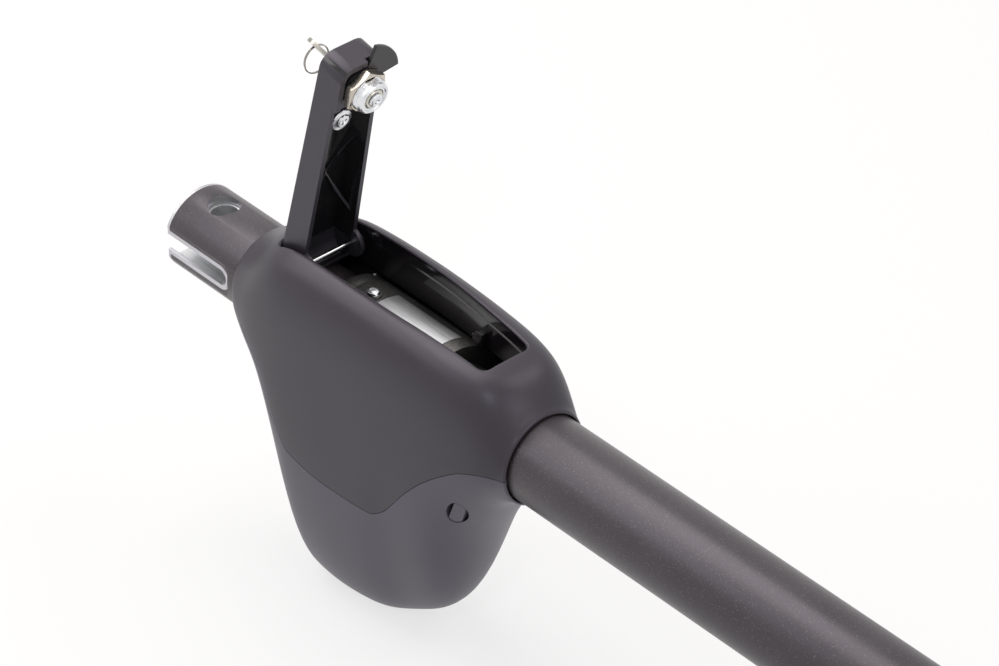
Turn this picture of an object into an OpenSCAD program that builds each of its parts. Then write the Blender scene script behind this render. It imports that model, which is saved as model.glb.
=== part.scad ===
// Swing-gate opener arm: a rear clevis tube, a two-part motor housing with a hinged lockable
// cover, and a drive tube from which a lead screw pushes a rod.
// The origin is the rear pin's axis on the tube's centre line. X runs along the arm to the
// rod's eye, Z is up along the pins, and Y points away from the side with the key-ring view.

/* [Tubes] */
// Outside diameter of the rear tube and of the drive tube
tube_d = 50; // [46:0.5:54]
// Wall of both tubes
tube_wall = 3.5; // [2.5:0.1:4.5]
// From the rear pin to the rear tube's sawn end
rear_reach = 22; // [18:0.5:30]
// Where the drive tube starts inside the housing
drive_tube_start = 226; // [222:1:236]
// Where the drive tube ends
drive_tube_end = 640; // [630:5:700]

/* [Rear clevis] */
// Height of the slot for the wall bracket's tongue
slot_height = 10; // [6:0.5:14]
// From the pin to the slot's rounded closed end
slot_depth = 28; // [22:1:36]
// Bore for the rear pin
pin_bore_d = 16; // [10:0.5:18]
// Hole in the tube round that bore
tube_hole_d = 18.5; // [18.5:0.5:24]
// Distance between the milled flats on the tube's sides
clevis_flats = 45.6; // [45:0.1:48.5]
// Height of each milled flat
flat_height = 22; // [18:0.5:24]
// How far each flat runs on past the slot's closed end
flat_margin = 3.7; // [2:0.1:6]
// Corner radius at the flat's closed end
flat_corner = 8; // [2:0.5:9]
// How far the insert lies inside the tube's sawn end
insert_setback = 7; // [3:0.5:10]
// Length of the insert
insert_length = 76; // [60:1:80]
// Depth of the flat spot round the bore at the top and bottom of the insert
insert_spot = 2.5; // [2:0.1:4]

/* [Housing] */
// Where the housing starts, behind the rear tube's slot
housing_rear = 38; // [36:0.5:44]
// Where the housing's front collar ends
housing_front = 258; // [256:0.5:264]
// Crown of the housing above the tube's axis
housing_top = 54.6; // [52:0.2:58]
// Depth of the motor bulge below the tube's axis
housing_depth = 160; // [154:1:176]
// Width of the housing
housing_width = 76; // [74:0.5:84]
// Wall of the two shells
shell_wall = 3; // [2.2:0.1:3.6]
// Open line between the two shells
parting_gap = 0.4; // [0.2:0.05:0.8]
// Depth of the parting line's lowest stretch
parting_depth = 75; // [66:1:84]
// From the front collar's end back to the round recess in each side of the lower shell
recess_setback = 34; // [30:0.5:40]
// Height of that recess
recess_z = -40; // [-46:0.5:-36]
// Radius of that recess
side_recess_r = 7.5; // [5:0.25:9]
// Distance between the two recesses' floors
side_recess_floor = 46; // [40:0.5:50]
// Thickness of the plug in each recess
side_plug_thick = 3; // [2:0.25:4]

/* [Window] */
// Rear edge of the window in the housing's top
window_rear = 70.5; // [69:0.25:71]
// Front edge of the window
window_front = 229.5; // [229.5:0.25:233]
// Width of the window at its rear
window_rear_width = 40.6; // [39.5:0.2:42]
// Width of the window at its widest
window_mid_width = 42; // [40:0.2:44]
// Width of the window at its front
window_front_width = 31.4; // [31.2:0.2:34]
// Radius of the window's corners
window_corner = 5; // [3:0.5:7]
// Thickness of the wall that hangs from the window's rim
skirt_wall = 2.5; // [2:0.1:3]

/* [Lid] */
// How far the lid stands open, from flat
lid_open = 77.4; // [60:0.2:85]
// Hinge pin's place along the arm
hinge_x = 88.3; // [88.3:0.1:90]
// Hinge pin's height
hinge_z = 39.2; // [38:0.1:41]
// From the hinge pin to the lid's front end
lid_length = 139.4; // [130:0.2:139.6]
// Width of the lid at the hinge
lid_rear_width = 36.4; // [34:0.2:37]
// Width of the lid at its front end
lid_front_width = 29.4; // [29:0.2:29.8]
// From the lid's free edges to its outer face, at the hinge
lid_depth = 16.8; // [15:0.1:17]
// The same at the front end
lid_front_depth = 14; // [12.5:0.1:15]
// Wall of the lid
lid_wall = 2.6; // [2:0.1:2.8]
// Thickness of the stiffening ribs inside the lid
rib_wall = 1.6; // [1:0.1:2.4]
// Radius of the hinge ears
ear_r = 8.5; // [6:0.25:9]
// Diameter of the hinge pin
hinge_pin_d = 3.2; // [2.5:0.1:4]
// Height of the raised rim round the lock
collar_rise = 3; // [1:0.25:4]
// Thickness of that rim
lid_collar_wall = 3.3; // [2:0.1:3.3]
// Diameter of the flanged screw's head inside the lid
lid_screw_d = 13; // [9:0.5:14]

/* [Lock] */
// From the lid's front end back to the lock's axis
lock_setback = 16.4; // [16:0.1:24]
// Diameter of the lock's threaded barrel
barrel_d = 20; // [18:0.5:20.5]
// How far the barrel stands past the lid's free edges
barrel_reach = 14; // [12:0.25:14.5]
// Nut across its flats
nut_flats = 22.5; // [21.5:0.25:23]
// Thickness of the nut
nut_thick = 5.5; // [4:0.25:6]
// Diameter of the plug that the key turns
plug_d = 12; // [11:0.25:13]
// Reach of the latch tongue from the lock's axis
tongue_r = 25; // [20:0.5:27]
// Thickness of the latch tongue
tongue_thick = 2.2; // [1.6:0.1:2.2]
// Middle of the tongue's arc, turned from the lid's length
tongue_turn = 49; // [30:1:60]
// Arc that the tongue spans
tongue_span = 66; // [40:1:66]
// Thickness of the key
key_thick = 2.2; // [1.6:0.1:2.4]
// Width of the key's blade
key_blade = 7.4; // [6:0.1:8]
// Width of the key's bow
key_bow = 16; // [13:0.5:18]
// How far the key stands out of the lid
key_reach = 24; // [20:0.5:30]
// Turn of the key's plane from the lid's length
key_turn = -37; // [-60:1:0]
// Radius of the key ring
ring_r = 8; // [8:0.25:10]
// Wire of the key ring
ring_wire = 1.4; // [1:0.1:1.6]

/* [Gear case] */
// Outside radius of the gear case round the screw
case_r = 31; // [30:0.5:32]
// Rear face of the gear case
case_rear = 112; // [110:0.5:114]
// Front face of the gear case
case_front = 190; // [188:0.5:194]
// Wall of the gear case
case_wall = 3.5; // [3:0.1:4]
// Thickness of the gear case's rear cover
cover_thick = 8; // [6:0.5:8]
// How far the cover's spigot reaches into the rear tube
spigot_reach = 16; // [10:0.5:18]
// How far the front spigot reaches into the drive tube
front_spigot = 20; // [14:0.5:24]
// Where the motor's axis stands along the arm
motor_x = 150; // [148:0.5:152]
// Top face of the motor
motor_top = -56; // [-60:0.5:-54]
// Radius of the motor's can
motor_r = 27.5; // [26:0.25:27.5]
// Length of the motor's can
motor_length = 54; // [48:0.5:54]
// Wall of the motor's can
can_wall = 2; // [1.5:0.1:2.5]
// Thickness of the gear case's motor flange
flange_thick = 5; // [4:0.25:6]
// Gap between the rotor and the stator
air_gap = 0.5; // [0.3:0.05:0.8]
// Radius of the rotor's core
rotor_r = 15; // [12:0.25:16]
// Diameter of the motor's shaft
motor_shaft_d = 6; // [5:0.1:6.4]

/* [Gears] */
// Teeth of the motor's pinion
pinion_teeth = 12; // [12:1:12]
// Teeth of the crown gear on the screw
crown_teeth = 36; // [36:1:36]
// Pitch radius of the crown gear
crown_pitch_r = 19.8; // [19.6:0.1:20.4]
// Width of the teeth where they mesh
mesh_width = 4; // [3:0.1:4.2]

/* [Screw and rod] */
// Diameter of the lead screw
screw_d = 14; // [12:0.25:14.5]
// Where the lead screw ends
screw_end = 585; // [580:1:600]
// Diameter of the screw's rear journal
rear_journal_d = 10; // [9:0.1:11]
// Outside diameter of the rear bearing
rear_bearing_d = 26; // [24:0.5:28]
// Width of the rear bearing
rear_bearing_width = 8; // [6:0.25:8]
// Diameter of the screw's front journal
front_journal_d = 15; // [14.6:0.1:15.8]
// Outside diameter of the front bearing
front_bearing_d = 35; // [32:0.5:36]
// Width of the front bearing
front_bearing_width = 11; // [9:0.5:12]
// Length of the nut on the screw
nut_length = 28; // [24:0.5:30]
// Outside diameter of the push rod
rod_d = 30; // [28:0.25:31]
// Wall of the push rod
rod_wall = 4; // [3:0.1:5]
// How far the retracted rod stands past the drive tube
rod_stand = 25; // [24:0.5:40]
// Length of the bush that closes the drive tube
bush_length = 24; // [18:0.5:30]
// Thickness of the bush's outer flange
bush_flange = 8; // [5:0.25:10]
// From the rod's end to the axis of its eye
eye_reach = 26; // [24:0.5:36]
// Outside diameter of the rod's eye
eye_d = 32; // [28:0.5:36]
// Bore of the rod's eye
eye_bore_d = 12; // [8:0.25:14]
// Height of the rod's eye
eye_height = 20; // [16:0.5:24]

/* [Cable inlet] */
// Height of the cable gland's axis in the housing's rear wall
gland_z = -92; // [-100:1:-86]
// Outside diameter of the gland's thread
gland_d = 16; // [12:0.5:18]
// Hole for the cable
cable_hole_d = 8; // [5:0.25:9]
// Where the gland's flat seat stands on the rear wall
gland_face = 58; // [56:0.5:60]

/* [Fits] */
// Radial clearance of a running fit
running = 0.05; // [0.02:0.01:0.08]
// Radial clearance of a close fixed fit
close = 0.1; // [0.05:0.01:0.15]
// Free gap beside moving pieces
free_gap = 0.4; // [0.3:0.05:0.6]

/* [Hidden] */
$fn = 64;
far = 200;
tube_r = tube_d / 2;
tube_in_r = tube_r - tube_wall;

// Housing shape: place along its length, then the shares of crown, bulge depth, waist height and
// half width above the collar's radius, and the upper and lower roundness of the section
housing_rows = [[0, 0, 0, 0, 0, 2, 2], [0.018, 0.11, 0.045, 0.13, 0.2, 2, 2.1],
    [0.055, 0.3, 0.137, 0.34, 0.46, 2.2, 2.1], [0.1, 0.55, 0.251, 0.55, 0.7, 2.6, 2.05],
    [0.145, 0.76, 0.486, 0.7, 0.83, 3.2, 2.25], [0.19, 0.87, 0.78, 0.85, 0.91, 3.8, 2.65],
    [0.245, 0.93, 0.997, 1, 0.96, 4.2, 3.2], [0.373, 0.99, 1, 1, 1, 4.2, 3.7],
    [0.486, 1, 0.999, 1, 1, 4.2, 3.2], [0.623, 0.967, 0.915, 0.93, 0.96, 4.2, 2.25],
    [0.736, 0.9, 0.742, 0.7, 0.87, 4.2, 2.2], [0.805, 0.85, 0.4, 0.55, 0.77, 4.2, 2.05],
    [0.864, 0.785, 0.22, 0.36, 0.63, 4, 2.1], [0.909, 0.705, 0.095, 0.2, 0.49, 3.4, 2.1],
    [0.945, 0.54, 0.035, 0.07, 0.3, 2.8, 2], [0.973, 0.285, 0.01, 0, 0.12, 2.3, 2],
    [0.991, 0.07, 0.002, 0, 0.03, 2, 2], [1, 0, 0, 0, 0, 2, 2]];
waist_drop = 14;
seal_gap = 0.8;
collar_wall = 1.4;
seal_bore_r = tube_r + seal_gap;
collar_r = seal_bore_r + collar_wall;
collar_depth = 20;
seal_length = 6;
seal_setback = 4;
rear_grip = 15;
skirt_gap = 1.5;
housing_length = housing_front - housing_rear;

// Parting line of the shells: share of the housing's length, then share of the parting depth
parting_rows = [[-0.1, 0.04], [0.02, 0.06], [0.09, 0.19], [0.145, 0.37], [0.21, 0.81], [0.255, 0.95],
    [0.39, 1], [0.555, 0.985], [0.595, 0.92], [0.686, 0.595], [0.745, 0.405], [0.816, 0.225],
    [0.877, 0.105], [0.95, 0.036], [1.1, 0]];

window_rows = [[0, window_rear_width], [0.2, window_mid_width - 0.8], [0.4, window_mid_width],
    [0.56, window_mid_width - 0.8], [0.75, (window_mid_width + window_front_width) / 2 + 0.6],
    [1, window_front_width]];

// Height of the case's top under the lid, and of the skirt's lower edge above it
skirt_bottom = tube_r + skirt_gap;
recess_x = housing_front - recess_setback;

// Lock places along the lid, and heights counted from the lid's free edges to its outer face
lock_along = lid_length - lock_setback;
tongue_ring = 1.2;
nut_back = -2 * free_gap - tongue_thick;
lock_block_wall = 3.5;
lid_slope = (lid_depth - lid_front_depth) / lid_length;
lock_top = lid_depth - lid_slope * lock_along;
lock_head = 2;
lock_head_r = barrel_d / 2 + 2;
lock_seat = lock_top + lid_slope * lock_head_r + close;

pinion_pitch_r = crown_pitch_r * pinion_teeth / crown_teeth;
pinion_addendum = 1;
pinion_dedendum = 1.4;
pinion_tip_r = pinion_pitch_r + pinion_addendum;
pinion_root_r = pinion_pitch_r - pinion_dedendum;
mesh_plane = motor_x + pinion_pitch_r;
crown_addendum = 0.85;
crown_dedendum = 1.9;
crown_rim = 6.5;
crown_hub_r = 10;
crown_hub = 17.5;
mesh_offset = 1.5;
mesh_inner = crown_pitch_r - mesh_offset;
crown_face = mesh_plane + crown_dedendum;
crown_back = crown_face + crown_rim;
crown_hub_end = crown_face + crown_hub;
bulkhead = case_front - 6;
front_bearing_end = case_front + front_bearing_width;
nut_start = drive_tube_start + front_spigot + 2;
rod_end_x = drive_tube_end + rod_stand;
eye_x = rod_end_x + eye_reach;
cover_rear = case_rear - cover_thick;
cover_head = 3;
rear_tube_end = cover_rear - cover_head - free_gap;
rear_bearing_start = case_rear + 1 - rear_bearing_width;
motor_bottom = motor_top - motor_length;
motor_plate_thick = 4;
bell_drop = 7;
motor_bearing_r = 9.5;
motor_bearing_width = 6;
gland_seat = 18;
case_screw_x = 124.5;
case_screw_r = 1.9;
case_boss_r = 4.5;
case_boss_rise = 1.5;
case_plate_x = 131;
case_plate_length = 50;
case_plate_arc = 44;
cover_screw_r = 1.5;
cover_screw_grip = 8;
motor_screw_r = 21;
gear_seat_r = 6;
nut_spigot = 20;
wiper_wall = 3.5;
wiper_depth = 5;
lid_corner_r = 8;
lid_screw_setback = 31;
lid_screw_x = lock_along - lid_screw_setback;
lid_boss_r = 7;
lid_boss_face = 7.5;
lid_bolt_r = 2;
rib_mid = 50;
rib_turn = 28;
rib_rise = 12;
rib_hollow_r = 60;
collar_back = 11;
collar_start = lock_along - collar_back;
collar_far = 2;
end_screw_r = 2;
end_screw_grip = 4;
key_tip = -3;
key_hole_r = 2.3;
key_hole_edge = 5;
hole_up = lock_top + key_reach - key_hole_edge;

// Smooth curve through rows of [place, values], without overshoot
function steps(rows, x) = [for (j = [0:len(rows) - 2]) if (rows[j][0] <= x) j];
function at(rows, x) = max(concat([0], steps(rows, x)));
function secant(rows, k, j) = (rows[j + 1][k] - rows[j][k]) / (rows[j + 1][0] - rows[j][0]);
function harmonic(a, b) = a * b <= 0 ? 0 : 2 * a * b / (a + b);
function slope(rows, k, j) = j == 0 ? secant(rows, k, 0)
    : j == len(rows) - 1 ? secant(rows, k, j - 1) : harmonic(secant(rows, k, j - 1), secant(rows, k, j));
function hermite(a, b, ma, mb, h, t) = (2 * t ^ 3 - 3 * t ^ 2 + 1) * a + (t ^ 3 - 2 * t ^ 2 + t) * h * ma
    + (3 * t ^ 2 - 2 * t ^ 3) * b + (t ^ 3 - t ^ 2) * h * mb;
function curve_in(rows, k, j, x) = hermite(rows[j][k], rows[j + 1][k], slope(rows, k, j),
    slope(rows, k, j + 1), rows[j + 1][0] - rows[j][0], (x - rows[j][0]) / (rows[j + 1][0] - rows[j][0]));
function curve(rows, k, x) = curve_in(rows, k, at(rows, x), x);

// One section of the housing, as points in Y and Z, drawn in by a wall
function squircle(a, n) = 1 / (abs(cos(a)) ^ n + abs(sin(a)) ^ n) ^ (1 / n);
function section(u, inset, count) = [
    let (top = collar_r + (housing_top - collar_r) * curve(housing_rows, 1, u) - inset,
        bottom = collar_r + (housing_depth - collar_r) * curve(housing_rows, 2, u) - inset,
        waist = waist_drop * curve(housing_rows, 3, u),
        half = collar_r + (housing_width / 2 - collar_r) * curve(housing_rows, 4, u) - inset)
    for (i = [0:count - 1])
    let (a = 360 * (i + 0.5) / count, upper = a < 180,
        r = squircle(a, curve(housing_rows, upper ? 5 : 6, u)))
    [half * cos(a) * r, -waist + (upper ? top + waist : bottom - waist) * sin(a) * r]];

// Closed skin through evenly named sections, with flat ends
module loft(start, end, inset, rings, count) {
    shares = [for (i = [0:rings - 1]) 0.5 - 0.5 * cos(180 * i / (rings - 1))];
    points = [for (u = shares) for (p = section(u, inset, count)) [start + (end - start) * u, p[0], p[1]]];
    sides = [for (i = [0:rings - 2]) for (j = [0:count - 1]) let (k = (j + 1) % count)
        each [[i * count + j, (i + 1) * count + k, i * count + k],
            [i * count + j, (i + 1) * count + j, (i + 1) * count + k]]];
    rear = [for (j = [0:count - 1]) j];
    front = [for (j = [count - 1:-1:0]) (rings - 1) * count + j];
    polyhedron(points, concat(sides, [rear, front]));
}

// Round bar or hole along X, from one place to another
module along_x(r, from, to) {
    translate([from, 0, 0]) rotate([0, 90, 0]) cylinder(r = r, h = to - from);
}

module pipe_x(outer, inner, from, to) {
    difference() {
        along_x(outer, from, to);
        along_x(inner, from - 1, to + 1);
    }
}

// Ring or disc along Z, from one height to another
module along_z(r, from, to) {
    translate([0, 0, from]) cylinder(r = r, h = to - from);
}

// Side outline in X and Z, cut right across the arm
module across(points, width = 2 * far) {
    rotate([90, 0, 0]) linear_extrude(height = width, center = true) polygon(points);
}

module slot_cut() {
    translate([-rear_reach - 1, -far / 2, -slot_height / 2])
        cube([rear_reach + 1 + slot_depth - slot_height / 2, far, slot_height]);
    translate([slot_depth - slot_height / 2, far / 2, 0])
        rotate([90, 0, 0]) cylinder(d = slot_height, h = far);
}

// Flat milled on one side of the tube, with rounded corners at its closed end
module flat_cut(side) {
    start = -2 * rear_reach;
    length = slot_depth + flat_margin - start;
    translate([start, side, -flat_height / 2])
        cube([length - flat_corner, tube_wall, flat_height]);
    translate([start, side, flat_corner - flat_height / 2])
        cube([length, tube_wall, flat_height - 2 * flat_corner]);
    for (up = [-1, 1])
        translate([start + length - flat_corner, side + tube_wall, up * (flat_height / 2 - flat_corner)])
            rotate([90, 0, 0]) cylinder(r = flat_corner, h = tube_wall);
}

module rear_tube() {
    color("#33322f")
    difference() {
        pipe_x(tube_r, tube_in_r, -rear_reach, rear_tube_end);
        slot_cut();
        along_z(tube_hole_d / 2, -far, far);
        flat_cut(clevis_flats / 2);
        flat_cut(-clevis_flats / 2 - tube_wall);
    }
}

module clevis_insert() {
    insert_r = tube_in_r - close;
    color("#a9abad")
    difference() {
        along_x(insert_r, insert_setback - rear_reach, insert_setback - rear_reach + insert_length);
        slot_cut();
        along_z(pin_bore_d / 2, -far, far);
        for (side = [0, 180])
            rotate([side, 0, 0]) along_z(pin_bore_d / 2 + 1, insert_r - insert_spot, far);
    }
}

// Window outline at its own size or grown all round
function corner_cut(d) = d >= window_corner ? 0
    : window_corner - sqrt(window_corner ^ 2 - (window_corner - d) ^ 2);
function window_half(x, grow) =
    let (u = (x - window_rear) / (window_front - window_rear), d = min(x - window_rear, window_front - x))
    curve(window_rows, 1, u) / 2 - corner_cut(d) + grow;
window_steps = concat([for (a = [0:22.5:67.5]) window_rear + window_corner * (1 - cos(a))],
    [for (i = [0:14]) window_rear + window_corner
        + (window_front - window_rear - 2 * window_corner) * i / 14],
    [for (a = [67.5:-22.5:0]) window_front - window_corner * (1 - cos(a))]);
function grown(x, grow) = x + grow * (2 * (x - window_rear) / (window_front - window_rear) - 1);
function window_edge(grow) = concat([for (x = window_steps) [grown(x, grow), window_half(x, grow)]],
    [for (i = [len(window_steps) - 1:-1:0])
        [grown(window_steps[i], grow), -window_half(window_steps[i], grow)]]);

module window(grow) {
    translate([0, 0, skirt_bottom]) linear_extrude(height = far) polygon(window_edge(grow));
}

// Recess bosses on both sides of the lower shell
module side_posts(r, from) {
    for (side = [-1, 1])
        translate([recess_x, side * from, recess_z]) rotate([-90 * side, 0, 0]) cylinder(r = r, h = far);
}

// Both shells as one hollow skin
module housing_skin() {
    difference() {
        loft(housing_rear, housing_front, 0, 30, 44);
        difference() {
            loft(housing_rear + shell_wall, housing_front - shell_wall, shell_wall, 20, 32);
            window(skirt_wall);
            side_posts(side_recess_r + shell_wall, side_recess_floor / 2 - shell_wall);
        }
        along_x(tube_r + free_gap, housing_rear - 1, housing_rear + rear_grip);
        along_x(seal_bore_r, housing_front - collar_depth, housing_front + 1);
    }
}

function parting(drop) = [for (i = [0:48]) let (u = -0.1 + 1.2 * i / 48)
    [housing_rear + housing_length * u, -parting_depth * curve(parting_rows, 1, u) - drop]];

module upper_shell() {
    color("#3d3b3a")
    difference() {
        intersection() {
            housing_skin();
            across(concat(parting(0), [[far * 2, far], [-far, far]]));
        }
        translate([0, 0, -1]) window(0);
        translate([hinge_x, 0, hinge_z]) rotate([90, 0, 0])
            cylinder(r = hinge_pin_d / 2 + close, h = window_rear_width + 2 * skirt_wall + 4, center = true);
    }
}

module lower_shell() {
    color("#47474a")
    difference() {
        union() {
            intersection() {
                housing_skin();
                across(concat(parting(parting_gap), [[far * 2, -far], [-far, -far]]));
            }
            translate([0, 0, gland_z]) along_x(gland_d / 2 + shell_wall, gland_face, gland_face + gland_seat);
        }
        side_posts(side_recess_r, side_recess_floor / 2);
        translate([0, 0, gland_z]) along_x(gland_d / 2 + close, 0, motor_x - motor_r);
    }
}

module side_plugs() {
    color("#3a3a3c")
    for (side = [-1, 1])
        translate([recess_x, side * (side_recess_floor / 2 + close), recess_z])
            rotate([-90 * side, 0, 0]) cylinder(r = side_recess_r - close, h = side_plug_thick);
}

module collar_seal() {
    color("#141414")
    pipe_x(seal_bore_r - close, tube_r + close, housing_front - seal_setback - seal_length,
        housing_front - seal_setback);
}

// Plastic gland with a hexagon outside the shell and a nut inside it
module cable_gland() {
    hexagon = gland_d / 2 + 2.5;
    color("#2a2a2b")
    translate([0, 0, gland_z])
    difference() {
        union() {
            along_x(gland_d / 2, gland_face - 2, gland_face + gland_seat + 8);
            translate([gland_face - 6, 0, 0]) rotate([0, 90, 0])
                cylinder(r = hexagon, h = 6 - close, $fn = 6);
            along_x(gland_d / 2 - 1, gland_face - 14, gland_face - 5);
            translate([gland_face + gland_seat + close, 0, 0]) rotate([0, 90, 0])
                cylinder(r = hexagon, h = 5, $fn = 6);
        }
        along_x(cable_hole_d / 2, 0, far);
    }
}

// Case round the gears, with a spigot for the drive tube and a neck down to the motor
module gear_case() {
    color("#8d8f92")
    difference() {
        union() {
            along_x(case_r, case_rear, case_front);
            along_x(tube_in_r - close, case_front - 1, drive_tube_start + front_spigot);
            translate([motor_x, 0, 0]) along_z(motor_bearing_r + 4.5, motor_top + 1, -case_r / 2);
            translate([motor_x, 0, 0]) along_z(motor_r, motor_top, motor_top + flange_thick);
            translate([case_screw_x, 0, 0]) along_z(case_boss_r, case_r / 2, case_r + case_boss_rise);
        }
        along_x(case_r - case_wall, case_rear - 1, bulkhead);
        along_x(front_journal_d / 2 + 3, bulkhead - 1, case_front + 1);
        along_x(front_bearing_d / 2 + close, case_front, far * 2);
        translate([motor_x, 0, 0]) along_z(motor_bearing_r + close, motor_top - 1, -case_r / 2);
        translate([case_screw_x, 0, 0]) along_z(case_screw_r + close, case_r - case_wall - 1, far);
        four_round_x() along_x(cover_screw_r + close, case_rear - 1, case_rear + cover_screw_grip + 1);
        four_round_motor() along_z(cover_screw_r + close, motor_top - 1, motor_top + flange_thick + 1);
    }
}

module four_round_x() {
    for (a = [45:90:315]) rotate([a, 0, 0]) translate([0, case_r - case_wall / 2, 0]) children();
}

module four_round_motor() {
    for (a = [45:90:315])
        translate([motor_x, 0, 0]) rotate([0, 0, a]) translate([motor_screw_r, 0, 0]) children();
}

module gear_case_cover() {
    color("#85878a")
    difference() {
        union() {
            along_x(case_r, cover_rear, case_rear - close);
            along_x(case_r - case_wall - close, cover_rear + 1, case_rear + 2);
            along_x(tube_in_r - close, cover_rear - spigot_reach, cover_rear + 1);
        }
        along_x(rear_bearing_d / 2 + close, rear_bearing_start, case_rear + 3);
        along_x(tube_in_r - case_wall - 2, cover_rear - spigot_reach - 1, cover_rear - 1);
        four_round_x() along_x(cover_screw_r + close, cover_rear - 1, case_rear + 1);
    }
}

module case_screw() {
    color("#c2c3c4")
    translate([case_screw_x, 0, 0])
    difference() {
        union() {
            along_z(case_screw_r, case_r - case_wall, case_r + case_boss_rise + 1);
            along_z(2 * case_screw_r, case_r + case_boss_rise, case_r + case_boss_rise + 2.4);
        }
        for (a = [0, 90]) rotate([0, 0, a])
            translate([-1.6, -0.4, case_r + case_boss_rise + 1.4]) cube([3.2, 0.8, 2]);
    }
}

// Socket-head screws that hold the cover on the gear case
module cover_screws() {
    color("#77797b")
    four_round_x() difference() {
        union() {
            along_x(cover_screw_r, cover_rear - 1, case_rear + cover_screw_grip);
            along_x(1.8 * cover_screw_r, cover_rear - cover_head, cover_rear);
        }
        translate([cover_rear - cover_head - 1, 0, 0]) rotate([0, 90, 0])
            cylinder(r = 0.9 * cover_screw_r, h = cover_head - 0.6, $fn = 6);
    }
}

// Thin bare plate bent round the top of the gear case
module case_plate() {
    color("#c9cacb")
    translate([case_plate_x, 0, 0]) rotate([0, 90, 0]) rotate([0, 0, 180 - case_plate_arc / 2])
        rotate_extrude(angle = case_plate_arc) translate([case_r + 0.02, 0]) square([0.4, case_plate_length]);
}

module rear_bearing() {
    color("#b4b6b8")
    pipe_x(rear_bearing_d / 2, rear_journal_d / 2 + running, rear_bearing_start, case_rear + 1);
}

module front_bearing() {
    color("#b4b6b8")
    pipe_x(front_bearing_d / 2, front_journal_d / 2 + running, case_front, front_bearing_end);
}

module bearing_ring() {
    color("#55575a")
    pipe_x(front_bearing_d / 2, front_bearing_d / 2 - 4, front_bearing_end + close, front_bearing_end + 1.6);
}

module motor_can() {
    color("#3b3d40")
    translate([motor_x, 0, 0])
    difference() {
        union() {
            along_z(motor_r, motor_bottom, motor_top - motor_plate_thick - close);
            along_z(motor_bearing_r + can_wall, motor_bottom - bell_drop, motor_bottom + 1);
        }
        along_z(motor_r - can_wall, motor_bottom + can_wall, 0);
        along_z(motor_bearing_r + close, motor_bottom - bell_drop + can_wall / 2, 0);
    }
}

module motor_plate() {
    color("#8a8c8f")
    difference() {
        translate([motor_x, 0, 0]) along_z(motor_r, motor_top - motor_plate_thick, motor_top - close);
        translate([motor_x, 0, 0]) along_z(motor_bearing_r + close, motor_top - far, 0);
        four_round_motor() along_z(cover_screw_r + close, motor_top - far, 0);
    }
}

// Ball bearings above and below the rotor
module motor_bearings() {
    low = motor_bottom - bell_drop + can_wall / 2 + close;
    high = motor_top - motor_plate_thick;
    color("#b4b6b8")
    translate([motor_x, 0, 0])
    for (z = [low, high]) difference() {
        along_z(motor_bearing_r, z, z + motor_bearing_width);
        along_z(motor_shaft_d / 2 + running, z - 1, z + motor_bearing_width + 1);
    }
}

module motor_screws() {
    seat = motor_top + flange_thick;
    color("#77797b")
    four_round_motor() {
        along_z(cover_screw_r, motor_top - motor_plate_thick + 0.5, seat + 1);
        along_z(1.8 * cover_screw_r, seat, seat + 3);
    }
}

winding_height = 6;
winding_room = 3;
core_low = motor_bottom + can_wall + winding_height + winding_room;
core_high = motor_top - motor_plate_thick - winding_height - winding_room;

module stator_core() {
    color("#5b5d60")
    translate([motor_x, 0, 0])
    difference() {
        along_z(motor_r - can_wall - close, core_low, core_high);
        along_z(rotor_r + air_gap, core_low - 1, core_high + 1);
    }
}

module windings() {
    color("#a8602c")
    translate([motor_x, 0, 0])
    for (z = [core_low - winding_height - close, core_high + close]) difference() {
        along_z(motor_r - can_wall - 2, z, z + winding_height);
        along_z(rotor_r + 2.5, z - 1, z + winding_height + 1);
    }
}

pinion_low = -mesh_inner - mesh_width - 0.5;

module rotor() {
    color("#6a6c6f")
    translate([motor_x, 0, 0]) {
        along_z(rotor_r, core_low, core_high);
        along_z(motor_shaft_d / 2, motor_bottom - bell_drop + can_wall / 2 + 2 * close,
                pinion_low + mesh_width + 1);
    }
}

// Straight-sided tooth outlines that mesh with free play at the crown gear's inner end
pinion_tooth = [1.15, 0.45];
crown_tooth = [0.75, 0.35];
function polar(r, a) = [r * cos(a), r * sin(a)];

module motor_pinion() {
    step = 360 / pinion_teeth;
    root = asin(pinion_tooth[0] / pinion_root_r);
    tip = asin(pinion_tooth[1] / pinion_tip_r);
    outline = [for (i = [0:pinion_teeth - 1])
        each [polar(pinion_root_r, i * step - root), polar(pinion_tip_r, i * step - tip),
            polar(pinion_tip_r, i * step + tip), polar(pinion_root_r, i * step + root)]];
    color("#9c9ea0")
    translate([motor_x, 0, pinion_low])
    difference() {
        linear_extrude(height = mesh_width + 1) polygon(outline);
        translate([0, 0, -1]) cylinder(r = motor_shaft_d / 2 + 0.02, h = mesh_width + 3);
    }
}

module crown_gear() {
    tip = mesh_plane - crown_addendum;
    color("#8f7a45")
    difference() {
        union() {
            along_x(mesh_inner + mesh_width + 1, crown_face, crown_back);
            along_x(crown_hub_r, crown_face, crown_hub_end);
            for (i = [0:crown_teeth - 1])
                rotate([(i + 0.5) * 360 / crown_teeth - 90, 0, 0]) translate([0, mesh_inner, 0])
                    rotate([-90, 0, 0]) linear_extrude(height = mesh_width)
                        polygon([[tip, -crown_tooth[1]], [tip, crown_tooth[1]], [crown_face, crown_tooth[0]],
                            [crown_face + 1, crown_tooth[0]], [crown_face + 1, -crown_tooth[0]],
                            [crown_face, -crown_tooth[0]]]);
        }
        along_x(gear_seat_r + 0.02, crown_face - 1, crown_hub_end + 1);
    }
}

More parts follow.
